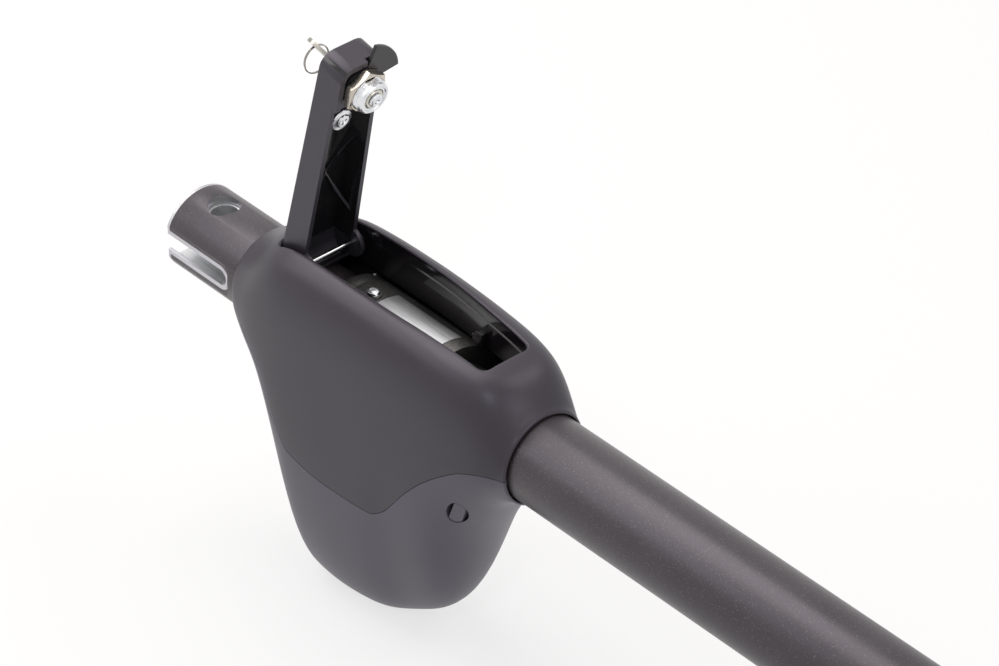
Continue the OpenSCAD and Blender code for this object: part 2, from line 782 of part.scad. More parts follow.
module lead_screw() {
    color("#9a9c9e")
    {
        along_x(rear_journal_d / 2, rear_bearing_start + close, case_rear + 1.5);
        along_x(gear_seat_r, case_rear + 1.4, crown_hub_end + 1);
        along_x(front_journal_d / 2 + 1.5, crown_hub_end + close, case_front - close);
        along_x(front_journal_d / 2, case_front - 1, front_bearing_end + 2);
        along_x(screw_d / 2, front_bearing_end + 1, screw_end);
    }
}

module drive_nut() {
    end = nut_start + nut_length;
    color("#a98a48")
    difference() {
        union() {
            along_x(tube_in_r - running, nut_start, end);
            along_x(rod_d / 2 - rod_wall - close, end - 1, end + nut_spigot);
        }
        along_x(screw_d / 2 + running, nut_start - 1, end + nut_spigot + 1);
    }
}

module push_rod() {
    color("#c4c6c8")
    pipe_x(rod_d / 2, rod_d / 2 - rod_wall, nut_start + nut_length + close, rod_end_x);
}

module rod_end() {
    color("#8f9194")
    difference() {
        union() {
            along_x(rod_d / 2 - rod_wall - close, rod_end_x - nut_spigot, rod_end_x + 1);
            along_x(rod_d / 2, rod_end_x + close, rod_end_x + 6);
            along_x(eye_height / 2 - 1, rod_end_x + 1, eye_x);
            translate([eye_x, 0, 0]) along_z(eye_d / 2, -eye_height / 2, eye_height / 2);
        }
        translate([eye_x, 0, 0]) along_z(eye_bore_d / 2, -far, far);
    }
}

module drive_tube() {
    color("#33322f")
    pipe_x(tube_r, tube_in_r, drive_tube_start, drive_tube_end);
}

module end_bush() {
    color("#2b2b2c")
    difference() {
        union() {
            along_x(tube_in_r - close, drive_tube_end - bush_length, drive_tube_end + 1);
            along_x(tube_r, drive_tube_end + close, drive_tube_end + bush_flange);
        }
        along_x(rod_d / 2 + running, 0, far * 4);
        along_x(rod_d / 2 + wiper_wall, drive_tube_end + bush_flange - wiper_depth, far * 4);
    }
}

module rod_wiper() {
    color("#161616")
    pipe_x(rod_d / 2 + wiper_wall - close, rod_d / 2 + running,
        drive_tube_end + bush_flange - wiper_depth + close,
        drive_tube_end + bush_flange + 1);
}

// The lid's own frame: X runs from the hinge pin to the free end, Z towards its outer face
module on_lid() {
    translate([hinge_x, 0, hinge_z]) rotate([0, -lid_open, 0]) children();
}

function lid_half(l, inset) =
    lid_rear_width / 2 - (lid_rear_width - lid_front_width) / 2 * max(l, 0) / lid_length - inset;
function lid_corner(inset) = [for (a = [0:18:90])
    let (r = lid_corner_r - inset, l = lid_length - inset - r + r * sin(a))
    [l, lid_half(lid_length - lid_corner_r, inset) - r + r * cos(a)]];
function lid_plan(inset) = concat([[-far, -lid_half(0, inset)], [0, -lid_half(0, inset)]],
    [for (p = lid_corner(inset)) [p[0], -p[1]]],
    [for (i = [len(lid_corner(inset)) - 1:-1:0]) lid_corner(inset)[i]],
    [[0, lid_half(0, inset)], [-far, lid_half(0, inset)]]);
function lid_knuckle(inset) = [for (a = [90:5:155]) polar(lid_depth - inset, a)];
function lid_height(l) = lid_depth - lid_slope * l;

// Lid without its hollow, or the shape of the hollow, by how far it is drawn in
module lid_block(inset, low) {
    intersection() {
        translate([0, 0, -far]) linear_extrude(height = 2 * far) polygon(lid_plan(inset));
        across(concat([[lid_length, low], [lid_length, lid_height(lid_length) - inset]],
            lid_knuckle(inset), [[-9.5 + inset, low]]));
    }
}

module lid() {
    color("#313133")
    on_lid()
    difference() {
        union() {
            difference() {
                lid_block(0, 0);
                difference() {
                    lid_block(lid_wall, -1);
                    translate([lock_along - barrel_d / 2 - lock_block_wall, -far, 0]) cube(2 * far);
                }
            }
            intersection() {
                lid_block(lid_wall / 2, 0);
                lid_ribs();
            }
            for (side = [-1, 1]) translate([0, side * (lid_half(0, lid_wall / 2) - 0.2), 0])
                rotate([90, 0, 0]) cylinder(r = ear_r, h = lid_wall - 0.2, center = true);
            translate([lid_screw_x, 0, 0])
                along_z(lid_boss_r, lid_boss_face, lid_height(lid_screw_x) - lid_wall / 2);
            lid_collar();
        }
        rotate([90, 0, 0]) cylinder(r = hinge_pin_d / 2 + running, h = far, center = true);
        translate([lock_along, 0, 0]) along_z(barrel_d / 2 + close, -far, far);
        translate([lid_screw_x, 0, 0]) along_z(lid_bolt_r + close, 0, lid_height(lid_screw_x) - lid_wall);
    }
}

// Crossed ribs with hollow free edges
module lid_ribs() {
    difference() {
        for (turn = [-rib_turn, rib_turn]) translate([rib_mid, 0, 0]) rotate([0, 0, turn])
            translate([-far / 2, -rib_wall / 2, 1]) cube([far, rib_wall, far]);
        translate([rib_mid, 0, rib_rise - rib_hollow_r]) rotate([90, 0, 0])
            cylinder(r = rib_hollow_r, h = far, center = true);
    }
}

// Raised rim on the near wall and on the near half of the end wall
module lid_collar() {
    intersection() {
        difference() {
            translate([0, 0, -collar_rise]) linear_extrude(height = collar_rise + 1) polygon(lid_plan(0));
            translate([0, 0, -far / 2]) linear_extrude(height = far) polygon(lid_plan(lid_collar_wall));
        }
        translate([collar_start, -far, -far]) cube([far, far + collar_far, 2 * far]);
    }
}

module hinge_pin() {
    color("#c6c8ca")
    translate([hinge_x, 0, hinge_z]) rotate([90, 0, 0])
        cylinder(d = hinge_pin_d, h = window_rear_width + 2 * skirt_wall - 1, center = true);
}

// Pan-head screw with a wide flange and a crossed recess
module lid_screw() {
    flange_top = lid_boss_face - 1.4;
    head_top = flange_top - 1.4;
    color("#b9babb")
    on_lid() translate([lid_screw_x, 0, 0])
    difference() {
        union() {
            along_z(lid_bolt_r, flange_top, lid_height(lid_screw_x) - lid_wall - 1);
            along_z(lid_screw_d / 2, flange_top, lid_boss_face - close);
            along_z(lid_screw_d / 3.2, head_top, flange_top + 0.5);
        }
        for (a = [45, 135]) rotate([0, 0, a]) translate([-2.6, -0.55, head_top - 1]) cube([5.2, 1.1, 2.2]);
    }
}

module lock_barrel() {
    color("#bfc0c0")
    on_lid() translate([lock_along, 0, 0])
    difference() {
        union() {
            along_z(barrel_d / 2, -barrel_reach, lock_seat + 1);
            along_z(lock_head_r, lock_seat, lock_seat + lock_head);
        }
        along_z(plug_d / 2 + running, -far, far);
        for (side = [-1, 1]) translate([side * (barrel_d / 2 + 4), 0, -barrel_reach / 2])
            cube([barrel_d / 2, far, barrel_reach], center = true);
    }
}

module lock_nut() {
    color("#a89e8c")
    on_lid() translate([lock_along, 0, 0])
    difference() {
        translate([0, 0, nut_back - nut_thick]) cylinder(r = nut_flats / sqrt(3), h = nut_thick, $fn = 6);
        along_z(barrel_d / 2 + close, -far, far);
    }
}

module lock_plug() {
    color("#c8b074")
    on_lid() translate([lock_along, 0, 0])
    difference() {
        along_z(plug_d / 2, -barrel_reach, lock_seat + lock_head + 0.4);
        rotate([0, 0, key_turn]) translate([0, 0, far / 2 + key_tip - 0.5])
            cube([key_blade + 0.4, key_thick + 0.3, far], center = true);
        along_z(end_screw_r + close, -far, key_tip - 1);
    }
}

module lock_end_screw() {
    color("#b2b3b4")
    on_lid() translate([lock_along, 0, -barrel_reach])
    difference() {
        union() {
            along_z(end_screw_r, -1, end_screw_grip);
            along_z(2 * end_screw_r, -2, -close);
        }
        for (a = [0, 90]) rotate([0, 0, a]) translate([-1.8, -0.4, -3]) cube([3.6, 0.8, 1.9]);
    }
}

// Sector plate on a ring that turns round the barrel in front of the nut
module latch_tongue() {
    color("#2c2c2e")
    on_lid() translate([lock_along, 0, -free_gap - tongue_thick])
    difference() {
        union() {
            along_z(barrel_d / 2 + tongue_ring, 0, tongue_thick);
            rotate([0, 0, tongue_turn - tongue_span / 2]) rotate_extrude(angle = tongue_span)
                square([tongue_r, tongue_thick]);
        }
        along_z(barrel_d / 2 + running, -1, tongue_thick + 1);
    }
}

module key() {
    bow_middle = lock_top + key_reach - key_bow / 2;
    bow_start = lock_seat + lock_head + 1.5;
    color("#b7b8ba")
    on_lid() translate([lock_along, 0, 0]) rotate([0, 0, key_turn])
    difference() {
        union() {
            translate([-key_blade / 2, -key_thick / 2, key_tip])
                cube([key_blade, key_thick, bow_start + 1 - key_tip]);
            translate([-key_bow / 2, -key_thick / 2, bow_start])
                cube([key_bow, key_thick, bow_middle - bow_start]);
            translate([0, 0, bow_middle]) rotate([90, 0, 0])
                cylinder(d = key_bow, h = key_thick, center = true);
        }
        translate([0, 0, hole_up]) rotate([90, 0, 0]) cylinder(r = key_hole_r, h = far, center = true);
    }
}

module key_ring() {
    color("#bcbdbf")
    on_lid() translate([lock_along, 0, hole_up]) rotate([0, lid_open, 0]) translate([0, 0, -ring_r])
        rotate([0, 90, 0]) rotate_extrude() translate([ring_r, 0]) circle(d = ring_wire, $fn = 32);
}

rear_tube();
clevis_insert();
upper_shell();
lower_shell();
side_plugs();
collar_seal();
cable_gland();
gear_case();
gear_case_cover();
case_screw();
cover_screws();
case_plate();
rear_bearing();
front_bearing();
bearing_ring();
motor_can();
motor_plate();
motor_bearings();
motor_screws();
stator_core();
windings();
rotor();
motor_pinion();
crown_gear();
lead_screw();
drive_nut();
push_rod();
rod_end();
drive_tube();
end_bush();
rod_wiper();
lid();
hinge_pin();
lid_screw();
lock_barrel();
lock_nut();
lock_plug();
lock_end_screw();
latch_tongue();
key();
key_ring();
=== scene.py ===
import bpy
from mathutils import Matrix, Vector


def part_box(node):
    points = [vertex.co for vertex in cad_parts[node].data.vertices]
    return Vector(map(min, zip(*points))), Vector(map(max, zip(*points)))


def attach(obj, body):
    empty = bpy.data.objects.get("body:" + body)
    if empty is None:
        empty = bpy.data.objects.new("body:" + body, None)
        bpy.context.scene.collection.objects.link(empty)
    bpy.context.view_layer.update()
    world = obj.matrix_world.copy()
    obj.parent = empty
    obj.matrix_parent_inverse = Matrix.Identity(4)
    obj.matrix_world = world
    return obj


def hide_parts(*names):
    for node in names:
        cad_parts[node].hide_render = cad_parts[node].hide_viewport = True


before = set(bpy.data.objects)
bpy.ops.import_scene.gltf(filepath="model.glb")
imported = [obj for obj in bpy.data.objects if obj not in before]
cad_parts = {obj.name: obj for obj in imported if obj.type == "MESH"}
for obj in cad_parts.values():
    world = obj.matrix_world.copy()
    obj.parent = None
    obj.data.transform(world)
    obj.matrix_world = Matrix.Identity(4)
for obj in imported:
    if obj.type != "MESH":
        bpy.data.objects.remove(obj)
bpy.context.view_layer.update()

import math

import bmesh
import bpy
from mathutils import Matrix, Vector

# Rear tube: drawn steel tube, sawn and slotted for the wall bracket and drilled for its pin.
# It is powder coated in dark grey with a fine sparkle, and bare where it was cut after coating.

MM = 0.001
SHARP_TURN, FLAT_TURN, SAME_POINT = 32.0, 0.4, 1e-6


def shader_group(name, label, kind, value, outputs):
    tree = bpy.data.node_groups.new(name, "ShaderNodeTree")
    tree.interface.new_socket(label, in_out="INPUT", socket_type=kind).default_value = value
    for output in outputs:
        tree.interface.new_socket(output, in_out="OUTPUT", socket_type="NodeSocketFloat")
    return tree, tree.nodes.new("NodeGroupInput"), tree.nodes.new("NodeGroupOutput")


def feed(tree, socket, value):
    """Sets a socket to a number or a colour, or links another socket to it."""
    if isinstance(value, float):
        socket.default_value = value
    elif isinstance(value, tuple):
        socket.default_value = (*value, 1.0)
    else:
        tree.links.new(value, socket)


def add_math(tree, operation, first, second=0.0):
    node = tree.nodes.new("ShaderNodeMath")
    node.operation = operation
    feed(tree, node.inputs[0], first)
    feed(tree, node.inputs[1], second)
    return node.outputs[0]


def add_mix(tree, amount, first, second):
    node = tree.nodes.new("ShaderNodeMix")
    node.data_type = "RGBA"
    for socket, value in zip((0, 6, 7), (amount, first, second)):
        feed(tree, node.inputs[socket], value)
    return node.outputs[2]


def add_noise(tree, coordinates, scale, detail):
    node = tree.nodes.new("ShaderNodeTexNoise")
    feed(tree, node.inputs["Scale"], scale)
    feed(tree, node.inputs["Detail"], detail)
    tree.links.new(coordinates, node.inputs["Vector"])
    return node.outputs[0]


def add_shares(tree, part, first, second):
    return add_math(tree, "ADD", add_math(tree, "MULTIPLY", first, part),
                    add_math(tree, "MULTIPLY", second, 1.0 - part))


# Fine raised grain, as on powder coat and textured mouldings, with rare bright flakes
BROAD_SCALE, GRAIN_SHARE, FLAKE_ABOVE = 38.0, 0.6, 0.965
grain, grain_in, grain_out = shader_group(
    "raised_grain", "Size", "NodeSocketFloat", 1000.0, ("Height", "Tone", "Flake"))
place = grain.nodes.new("ShaderNodeTexCoord").outputs["Object"]
fine = add_noise(grain, place, grain_in.outputs["Size"], 3.0)
broad = add_noise(grain, place, BROAD_SCALE, 3.0)
cells = grain.nodes.new("ShaderNodeTexVoronoi")
grain.links.new(place, cells.inputs["Vector"])
grain.links.new(grain_in.outputs["Size"], cells.inputs["Scale"])
pick = grain.nodes.new("ShaderNodeSeparateColor")
grain.links.new(cells.outputs["Color"], pick.inputs[0])
flakes = add_math(grain, "GREATER_THAN", pick.outputs[0], FLAKE_ABOVE)
grain.links.new(fine, grain_out.inputs["Height"])
grain.links.new(add_shares(grain, GRAIN_SHARE, fine, broad), grain_out.inputs["Tone"])
grain.links.new(flakes, grain_out.inputs["Flake"])

# Long parallel scratches left by a cutter, a brush or a drawing die
CLOUD_SCALE, SCRATCH_SHARE = 60.0, 0.65
brushed, brushed_in, brushed_out = shader_group(
    "tool_marks", "Along", "NodeSocketVector", (20.0, 900.0, 900.0), ("Height", "Tone"))
place = brushed.nodes.new("ShaderNodeTexCoord").outputs["Object"]
scaled = brushed.nodes.new("ShaderNodeVectorMath")
scaled.operation = "MULTIPLY"
brushed.links.new(place, scaled.inputs[0])
brushed.links.new(brushed_in.outputs["Along"], scaled.inputs[1])
scratches = add_noise(brushed, scaled.outputs[0], 1.0, 4.0)
clouds = add_noise(brushed, place, CLOUD_SCALE, 2.0)
brushed.links.new(scratches, brushed_out.inputs["Height"])
brushed.links.new(add_shares(brushed, SCRATCH_SHARE, scratches, clouds), brushed_out.inputs["Tone"])

GRAIN_RISE, SCRATCH_RISE = 0.15, 0.05
NOISE_LOW, NOISE_HIGH = 0.3, 0.7


def new_material(name, **constants):
    material = bpy.data.materials.new(name)
    material.use_nodes = True
    shader = material.node_tree.nodes["Principled BSDF"]
    for socket, value in constants.items():
        shader.inputs[socket.replace("_", " ")].default_value = value
    return material, material.node_tree, shader


def ramp_value(tree, value, low, high):
    node = tree.nodes.new("ShaderNodeMapRange")
    limits = {"From Min": NOISE_LOW, "From Max": NOISE_HIGH, "To Min": low, "To Max": high}
    for label, limit in limits.items():
        node.inputs[label].default_value = limit
    tree.links.new(value, node.inputs["Value"])
    return node.outputs[0]


def finished(group, setting, rise, name, dark, light, roughness, bump, flake=None, **constants):
    """A material whose colour, roughness and bump follow one of the two groups."""
    material, tree, shader = new_material(name, **constants)
    marks = tree.nodes.new("ShaderNodeGroup")
    marks.node_tree = group
    marks.inputs[0].default_value = setting
    tone = marks.outputs["Tone"]
    colour = add_mix(tree, ramp_value(tree, tone, 0.0, 1.0), dark, light)
    if flake:
        colour = add_mix(tree, marks.outputs["Flake"], colour, flake)
    tree.links.new(colour, shader.inputs["Base Color"])
    tree.links.new(ramp_value(tree, tone, *roughness), shader.inputs["Roughness"])
    relief = tree.nodes.new("ShaderNodeBump")
    relief.inputs["Strength"].default_value = bump
    relief.inputs["Distance"].default_value = rise * MM
    tree.links.new(marks.outputs["Height"], relief.inputs["Height"])
    tree.links.new(relief.outputs[0], shader.inputs["Normal"])
    return material


def grained(name, dark, light, size, roughness, bump, flake=None, **constants):
    return finished(grain, size, GRAIN_RISE, name, dark, light, roughness, bump, flake, **constants)


def tooled(name, dark, light, along, roughness, bump=0.15):
    return finished(brushed, along, SCRATCH_RISE, name, dark, light, roughness, bump, Metallic=1.0)


TUBE_R, COAT_THICK = 25.0, 0.12
SLOT_MIDDLE, SLOT_LIP, SAWN_END, DRILLED_R = 23.0, 7.7, -20.2, 9.4
COOL_GLOSS = (0.93, 0.87, 1.0, 1.0)
COAT_DARK, COAT_LIGHT = (0.03, 0.026, 0.029), (0.054, 0.047, 0.051)
COAT_FLAKE, BARE_METAL = (0.125, 0.11, 0.095), (0.56, 0.56, 0.57)


def add_length(tree, first, second):
    squares = [add_math(tree, "POWER", value, 2.0) for value in (first, second)]
    return add_math(tree, "SQRT", add_math(tree, "ADD", *squares))


def add_below(tree, value, limit):
    return add_math(tree, "LESS_THAN", value, limit * MM)


tube_coat = grained("tube_powder_coat", COAT_DARK, COAT_LIGHT, 2600.0, (0.28, 0.42), 0.35,
                    COAT_FLAKE, Specular_Tint=COOL_GLOSS)
tree = tube_coat.node_tree
shader = tree.nodes["Principled BSDF"]
coordinates = tree.nodes.new("ShaderNodeSeparateXYZ")
tree.links.new(tree.nodes.new("ShaderNodeTexCoord").outputs["Object"], coordinates.inputs[0])
x, y, z = coordinates.outputs
past_slot = add_math(tree, "MAXIMUM", add_math(tree, "SUBTRACT", x, SLOT_MIDDLE * MM), 0.0)
cut = add_math(tree, "MAXIMUM", add_below(tree, add_length(tree, past_slot, z), SLOT_LIP),
               add_below(tree, add_length(tree, x, y), DRILLED_R))
inside = add_below(tree, add_length(tree, y, z), TUBE_R - COAT_THICK)
bare = add_math(tree, "MAXIMUM", add_math(tree, "MULTIPLY", inside, cut),
                add_below(tree, x, SAWN_END))
painted = shader.inputs["Base Color"].links[0].from_socket
tree.links.new(add_mix(tree, bare, painted, BARE_METAL), shader.inputs["Base Color"])
tree.links.new(bare, shader.inputs["Metallic"])


def outward(bm):
    """Turns the faces of closed shapes to the outside."""
    bmesh.ops.recalc_face_normals(bm, faces=bm.faces)
    if bm.calc_volume(signed=True) < 0:
        bmesh.ops.reverse_faces(bm, faces=bm.faces)


def made(bm, piece, material, body, nodes, sharp=SHARP_TURN):
    """A finished mesh object that rides on a body and stands for the named CAD nodes."""
    mesh = bpy.data.meshes.new(piece)
    for face in bm.faces:
        face.smooth = True
    outward(bm)
    bm.to_mesh(mesh)
    bm.free()
    mesh.set_sharp_from_angle(angle=math.radians(sharp))
    mesh.materials.append(material)
    obj = bpy.data.objects.new(piece, mesh)
    bpy.context.scene.collection.objects.link(obj)
    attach(obj, body)
    if nodes:
        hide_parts(*nodes)
    return obj


def softened(bm, width, sharp):
    """Rounds the sharp edges of a mesh."""
    corners = [e for e in bm.edges if e.is_manifold and e.calc_face_angle() > math.radians(sharp)]
    bmesh.ops.bevel(bm, geom=corners, offset=width * MM, segments=2, profile=0.6, affect="EDGES",
                    clamp_overlap=True)


def refined(node, piece, material, edge, body, flat_over=None):
    """The CAD node's form with softened edges and smooth round faces. Faces over an area in
    square mm stay flat."""
    bm = bmesh.new()
    bm.from_mesh(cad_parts[node].data)
    bmesh.ops.remove_doubles(bm, verts=bm.verts, dist=SAME_POINT)
    bmesh.ops.dissolve_limit(bm, angle_limit=math.radians(FLAT_TURN), verts=bm.verts,
                             edges=bm.edges)
    softened(bm, edge, SHARP_TURN)
    obj = made(bm, piece, material, body, (node,))
    if flat_over:
        for face in obj.data.polygons:
            face.use_smooth = face.area < flat_over * MM * MM
    return obj


refined("rear_tube", "rear_tube_sawn", tube_coat, 0.6, "arm")

# Clevis insert: a bar of aluminium turned to fit the tube, with the bracket's slot and pin bore
# milled through it. It is bare, with fine tool marks along the bar.

insert_metal = tooled("milled_aluminium", (0.4, 0.41, 0.42), (0.6, 0.61, 0.62),
                      (30.0, 900.0, 900.0), (0.36, 0.54))
refined("clevis_insert", "clevis_insert_bar", insert_metal, 0.3, "arm")

# Upper shell: glass-filled plastic moulding, dark warm grey with a fine spark-eroded texture.
# It is drawn as sections along the arm, with a window in its crown. A polished wall hangs from the
# window's rim; it is the same plastic, darkened in colour as painted shade inside the window.

HOUSING_REAR, HOUSING_FRONT = 38.0, 258.0
CROWN, BULGE, HALF_WIDTH, COLLAR_R, WAIST = 54.6, 160.0, 38.0, 27.2, 14.0
# Share of the length, then crown, depth, waist, half width and the two curve powers
HOUSING_ROWS = [
    (0, 0, 0, 0, 0, 2, 2), (0.018, 0.11, 0.045, 0.13, 0.2, 2, 2.1),
    (0.055, 0.3, 0.137, 0.34, 0.46, 2.2, 2.1), (0.1, 0.55, 0.251, 0.55, 0.7, 2.6, 2.05),
    (0.145, 0.76, 0.486, 0.7, 0.83, 3.2, 2.25), (0.19, 0.87, 0.78, 0.85, 0.91, 3.8, 2.65),
    (0.245, 0.93, 0.997, 1, 0.96, 4.2, 3.2), (0.373, 0.99, 1, 1, 1, 4.2, 3.7),
    (0.486, 1, 0.999, 1, 1, 4.2, 3.2), (0.623, 0.967, 0.915, 0.93, 0.96, 4.2, 2.25),
    (0.736, 0.9, 0.742, 0.7, 0.87, 4.2, 2.2), (0.805, 0.85, 0.4, 0.55, 0.77, 4.2, 2.05),
    (0.864, 0.785, 0.22, 0.36, 0.63, 4, 2.1), (0.909, 0.705, 0.095, 0.2, 0.49, 3.4, 2.1),
    (0.945, 0.54, 0.035, 0.07, 0.3, 2.8, 2), (0.973, 0.285, 0.01, 0, 0.12, 2.3, 2),
    (0.991, 0.07, 0.002, 0, 0.03, 2, 2), (1, 0, 0, 0, 0, 2, 2)]
PARTING_DEPTH = 75.0
PARTING_ROWS = [
    (-0.1, 0.04), (0.02, 0.06), (0.09, 0.19), (0.145, 0.37), (0.21, 0.81), (0.255, 0.95), (0.39, 1),
    (0.555, 0.985), (0.595, 0.92), (0.686, 0.595), (0.745, 0.405), (0.816, 0.225), (0.877, 0.105),
    (0.95, 0.036), (1.1, 0)]
WINDOW_REAR, WINDOW_FRONT, WINDOW_CORNER = 70.5, 229.5, 5.0
WINDOW_ROWS = [(0, 40.6), (0.2, 41.2), (0.4, 42.0), (0.56, 41.2), (0.75, 37.3), (1, 31.4)]
RIM_ROUND, LIP_ROUND, PARTING_ROLL = 1.3, 1.1, 0.35
EVEN_SPREAD = 11.0
EVEN_WEIGHTS = [(i, (4 - abs(i)) / 16) for i in range(-3, 4)]
SIDE_POINTS, CROWN_POINTS, TRACE_POINTS, HALVINGS = 60, 14, 240, 50


def smooth(rows, column, x):
    """A curve through the rows that doesn't overshoot them."""
    j = max([i for i in range(len(rows) - 1) if rows[i][0] <= x], default=0)

    def secant(i):
        return (rows[i + 1][column] - rows[i][column]) / (rows[i + 1][0] - rows[i][0])

    def slope(i):
        if i == 0 or i == len(rows) - 1:
            return secant(min(i, len(rows) - 2))
        a, b = secant(i - 1), secant(i)
        return 0.0 if a * b <= 0 else 2 * a * b / (a + b)

    step = rows[j + 1][0] - rows[j][0]
    t = (x - rows[j][0]) / step
    return ((2 * t**3 - 3 * t**2 + 1) * rows[j][column] + (t**3 - 2 * t**2 + t) * step * slope(j)
            + (3 * t**2 - 2 * t**3) * rows[j + 1][column] + (t**3 - t**2) * step * slope(j + 1))


def share(x):
    return (x - HOUSING_REAR) / (HOUSING_FRONT - HOUSING_REAR)


def section(x):
    """Crown, depth, waist, half width and the two curve powers at a place along the arm."""
    end = min(x - HOUSING_REAR, HOUSING_FRONT - x)
    spread = min(EVEN_SPREAD, end / 3)
    top, bottom, waist, half, upper, lower = (
        sum(w * smooth(HOUSING_ROWS, k, share(x + spread * i / 3)) for i, w in EVEN_WEIGHTS)
        for k in range(1, 7))
    lip = LIP_ROUND - math.sqrt(LIP_ROUND**2 - max(LIP_ROUND - end, 0.0) ** 2)
    return (COLLAR_R + (CROWN - COLLAR_R) * top - lip,
            COLLAR_R + (BULGE - COLLAR_R) * bottom - lip, WAIST * waist,
            COLLAR_R + (HALF_WIDTH - COLLAR_R) * half - lip, upper, lower)


def on_section(form, angle):
    top, bottom, waist, half, upper, lower = form
    power = upper if angle > 0 else lower
    c, s = math.cos(angle), math.sin(angle)
    r = (abs(c) ** power + abs(s) ** power) ** (-1 / power)
    return half * c * r, -waist + (top + waist if angle > 0 else bottom - waist) * s * r


def angle_where(form, axis, value):
    """The angle on the far half of a section where its width or height has a value."""
    low, high = (-math.pi / 2, math.pi / 2) if axis else (math.pi / 2, 0.0)
    for _ in range(HALVINGS):
        middle = (low + high) / 2
        if on_section(form, middle)[axis] < value:
            low = middle
        else:
            high = middle
    return (low + high) / 2


def even_points(form, start, end, count):
    """Points evenly spaced along a section between two angles."""
    trace = [on_section(form, start + (end - start) * i / TRACE_POINTS)
             for i in range(TRACE_POINTS + 1)]
    run = [0.0]
    for p, q in zip(trace, trace[1:]):
        run.append(run[-1] + math.dist(p, q))
    points, k = [], 0
    for i in range(count):
        want = run[-1] * i / (count - 1)
        while k < TRACE_POINTS - 1 and run[k + 1] < want:
            k += 1
        t = (want - run[k]) / (run[k + 1] - run[k] or 1.0)
        points.append(tuple(a + (b - a) * t for a, b in zip(trace[k], trace[k + 1])))
    return points


def parting(x):
    return -PARTING_DEPTH * smooth(PARTING_ROWS, 1, share(x))


def window_half(x):
    edge = min(x - WINDOW_REAR, WINDOW_FRONT - x)
    cut = 0.0
    if edge < WINDOW_CORNER:
        cut = WINDOW_CORNER - math.sqrt(max(WINDOW_CORNER**2 - (WINDOW_CORNER - edge) ** 2, 0.0))
    return smooth(WINDOW_ROWS, 1, (x - WINDOW_REAR) / (WINDOW_FRONT - WINDOW_REAR)) / 2 - cut


def grown(x):
    return x + RIM_ROUND * (2 * (x - WINDOW_REAR) / (WINDOW_FRONT - WINDOW_REAR) - 1)


# Places of the sections: close together at both ends and round the window's corners
STRAIGHT_STEPS, END_STEPS, CROWDING = 56, 36, 1.8
straight = WINDOW_FRONT - WINDOW_REAR - 2 * WINDOW_CORNER
corner_steps = [WINDOW_CORNER * (1 - math.cos(math.radians(a))) for a in range(0, 90, 9)]
window_steps = ([WINDOW_REAR + c for c in corner_steps]
                + [WINDOW_REAR + WINDOW_CORNER + straight * i / STRAIGHT_STEPS
                   for i in range(STRAIGHT_STEPS + 1)]
                + [WINDOW_FRONT - c for c in reversed(corner_steps)])
rear_run = WINDOW_REAR - RIM_ROUND - HOUSING_REAR
front_run = HOUSING_FRONT - WINDOW_FRONT - RIM_ROUND
rear_steps = [HOUSING_REAR + rear_run * (i / END_STEPS) ** CROWDING for i in range(END_STEPS)]
front_steps = [HOUSING_FRONT - front_run * (1 - i / END_STEPS) ** CROWDING
               for i in range(1, END_STEPS + 1)]
stations = ([(x, window_half(WINDOW_REAR) + RIM_ROUND, None) for x in rear_steps]
            + [(grown(x), window_half(x) + RIM_ROUND, x) for x in window_steps]
            + [(x, window_half(WINDOW_FRONT) + RIM_ROUND, None) for x in front_steps])
first = len(rear_steps)
last = first + len(window_steps) - 1


def rolled(form, angle):
    """A point just inside a shell's edge, so that the edge turns in."""
    y, z = on_section(form, angle)
    return y - PARTING_ROLL, z


def add_row(bm, x, half_row, side):
    """A section's points from its edge on one side over the middle to the other edge."""
    half_row[-1] = (0.0, half_row[-1][1])
    whole = [(side * y, z) for y, z in half_row] + [(-side * y, z) for y, z in half_row[-2::-1]]
    return [bm.verts.new((x * MM, y * MM, z * MM)) for y, z in whole]


def grid_faces(bm, rows, skip=lambda i, j: False):
    for i in range(len(rows) - 1):
        for j in range(len(rows[i]) - 1):
            if not skip(i, j):
                bm.faces.new((rows[i][j], rows[i][j + 1], rows[i + 1][j + 1], rows[i + 1][j]))


def skin_outward(bm, up):
    """Turns an open skin so that its topmost or lowest face looks out."""
    bmesh.ops.recalc_face_normals(bm, faces=bm.faces)
    if up * max(bm.faces, key=lambda f: up * f.calc_center_median().z).normal.z < 0:
        bmesh.ops.reverse_faces(bm, faces=bm.faces)


bm = bmesh.new()
rows = []
for x, lane, _ in stations:
    form = section(x)
    start, at_lane = angle_where(form, 1, parting(x)), angle_where(form, 0, lane)
    half_row = [rolled(form, start)] + even_points(form, start, at_lane, SIDE_POINTS)
    half_row += even_points(form, at_lane, math.pi / 2, CROWN_POINTS)[1:]
    rows.append(add_row(bm, x, half_row, -1))
left, right = SIDE_POINTS, len(rows[0]) - 1 - SIDE_POINTS
grid_faces(bm, rows, lambda i, j: first <= i < last and left <= j < right)

# The rim turns down over a small round, then a wall with one step hangs from it. The step grows
# from nothing ahead of the hinge, and turns across the window's front end.
RIM_TURNS, WINDOW_MIDDLE = 4, (WINDOW_REAR + WINDOW_FRONT) / 2
SKIRT_BOTTOM, STEP_DROP, STEP_IN = 26.5, 8.0, 0.7
STEP_FROM, STEP_GROWS, STEP_TURNS = 100.0, 10.0, 215.0
rim = ([(rows[first][j], None) for j in range(left, right)]
       + [(rows[i][right], stations[i][2]) for i in range(first, last)]
       + [(rows[last][j], None) for j in range(right, left, -1)]
       + [(rows[i][left], stations[i][2]) for i in range(last, first, -1)])


def rim_target(vert, x):
    """Where the wall under a rim point stands, in X and Y."""
    if x is None:
        x = WINDOW_REAR if vert.co.x / MM < WINDOW_MIDDLE else WINDOW_FRONT
        return x, vert.co.y / MM * window_half(x) / (window_half(x) + RIM_ROUND)
    return x, math.copysign(window_half(x), vert.co.y)


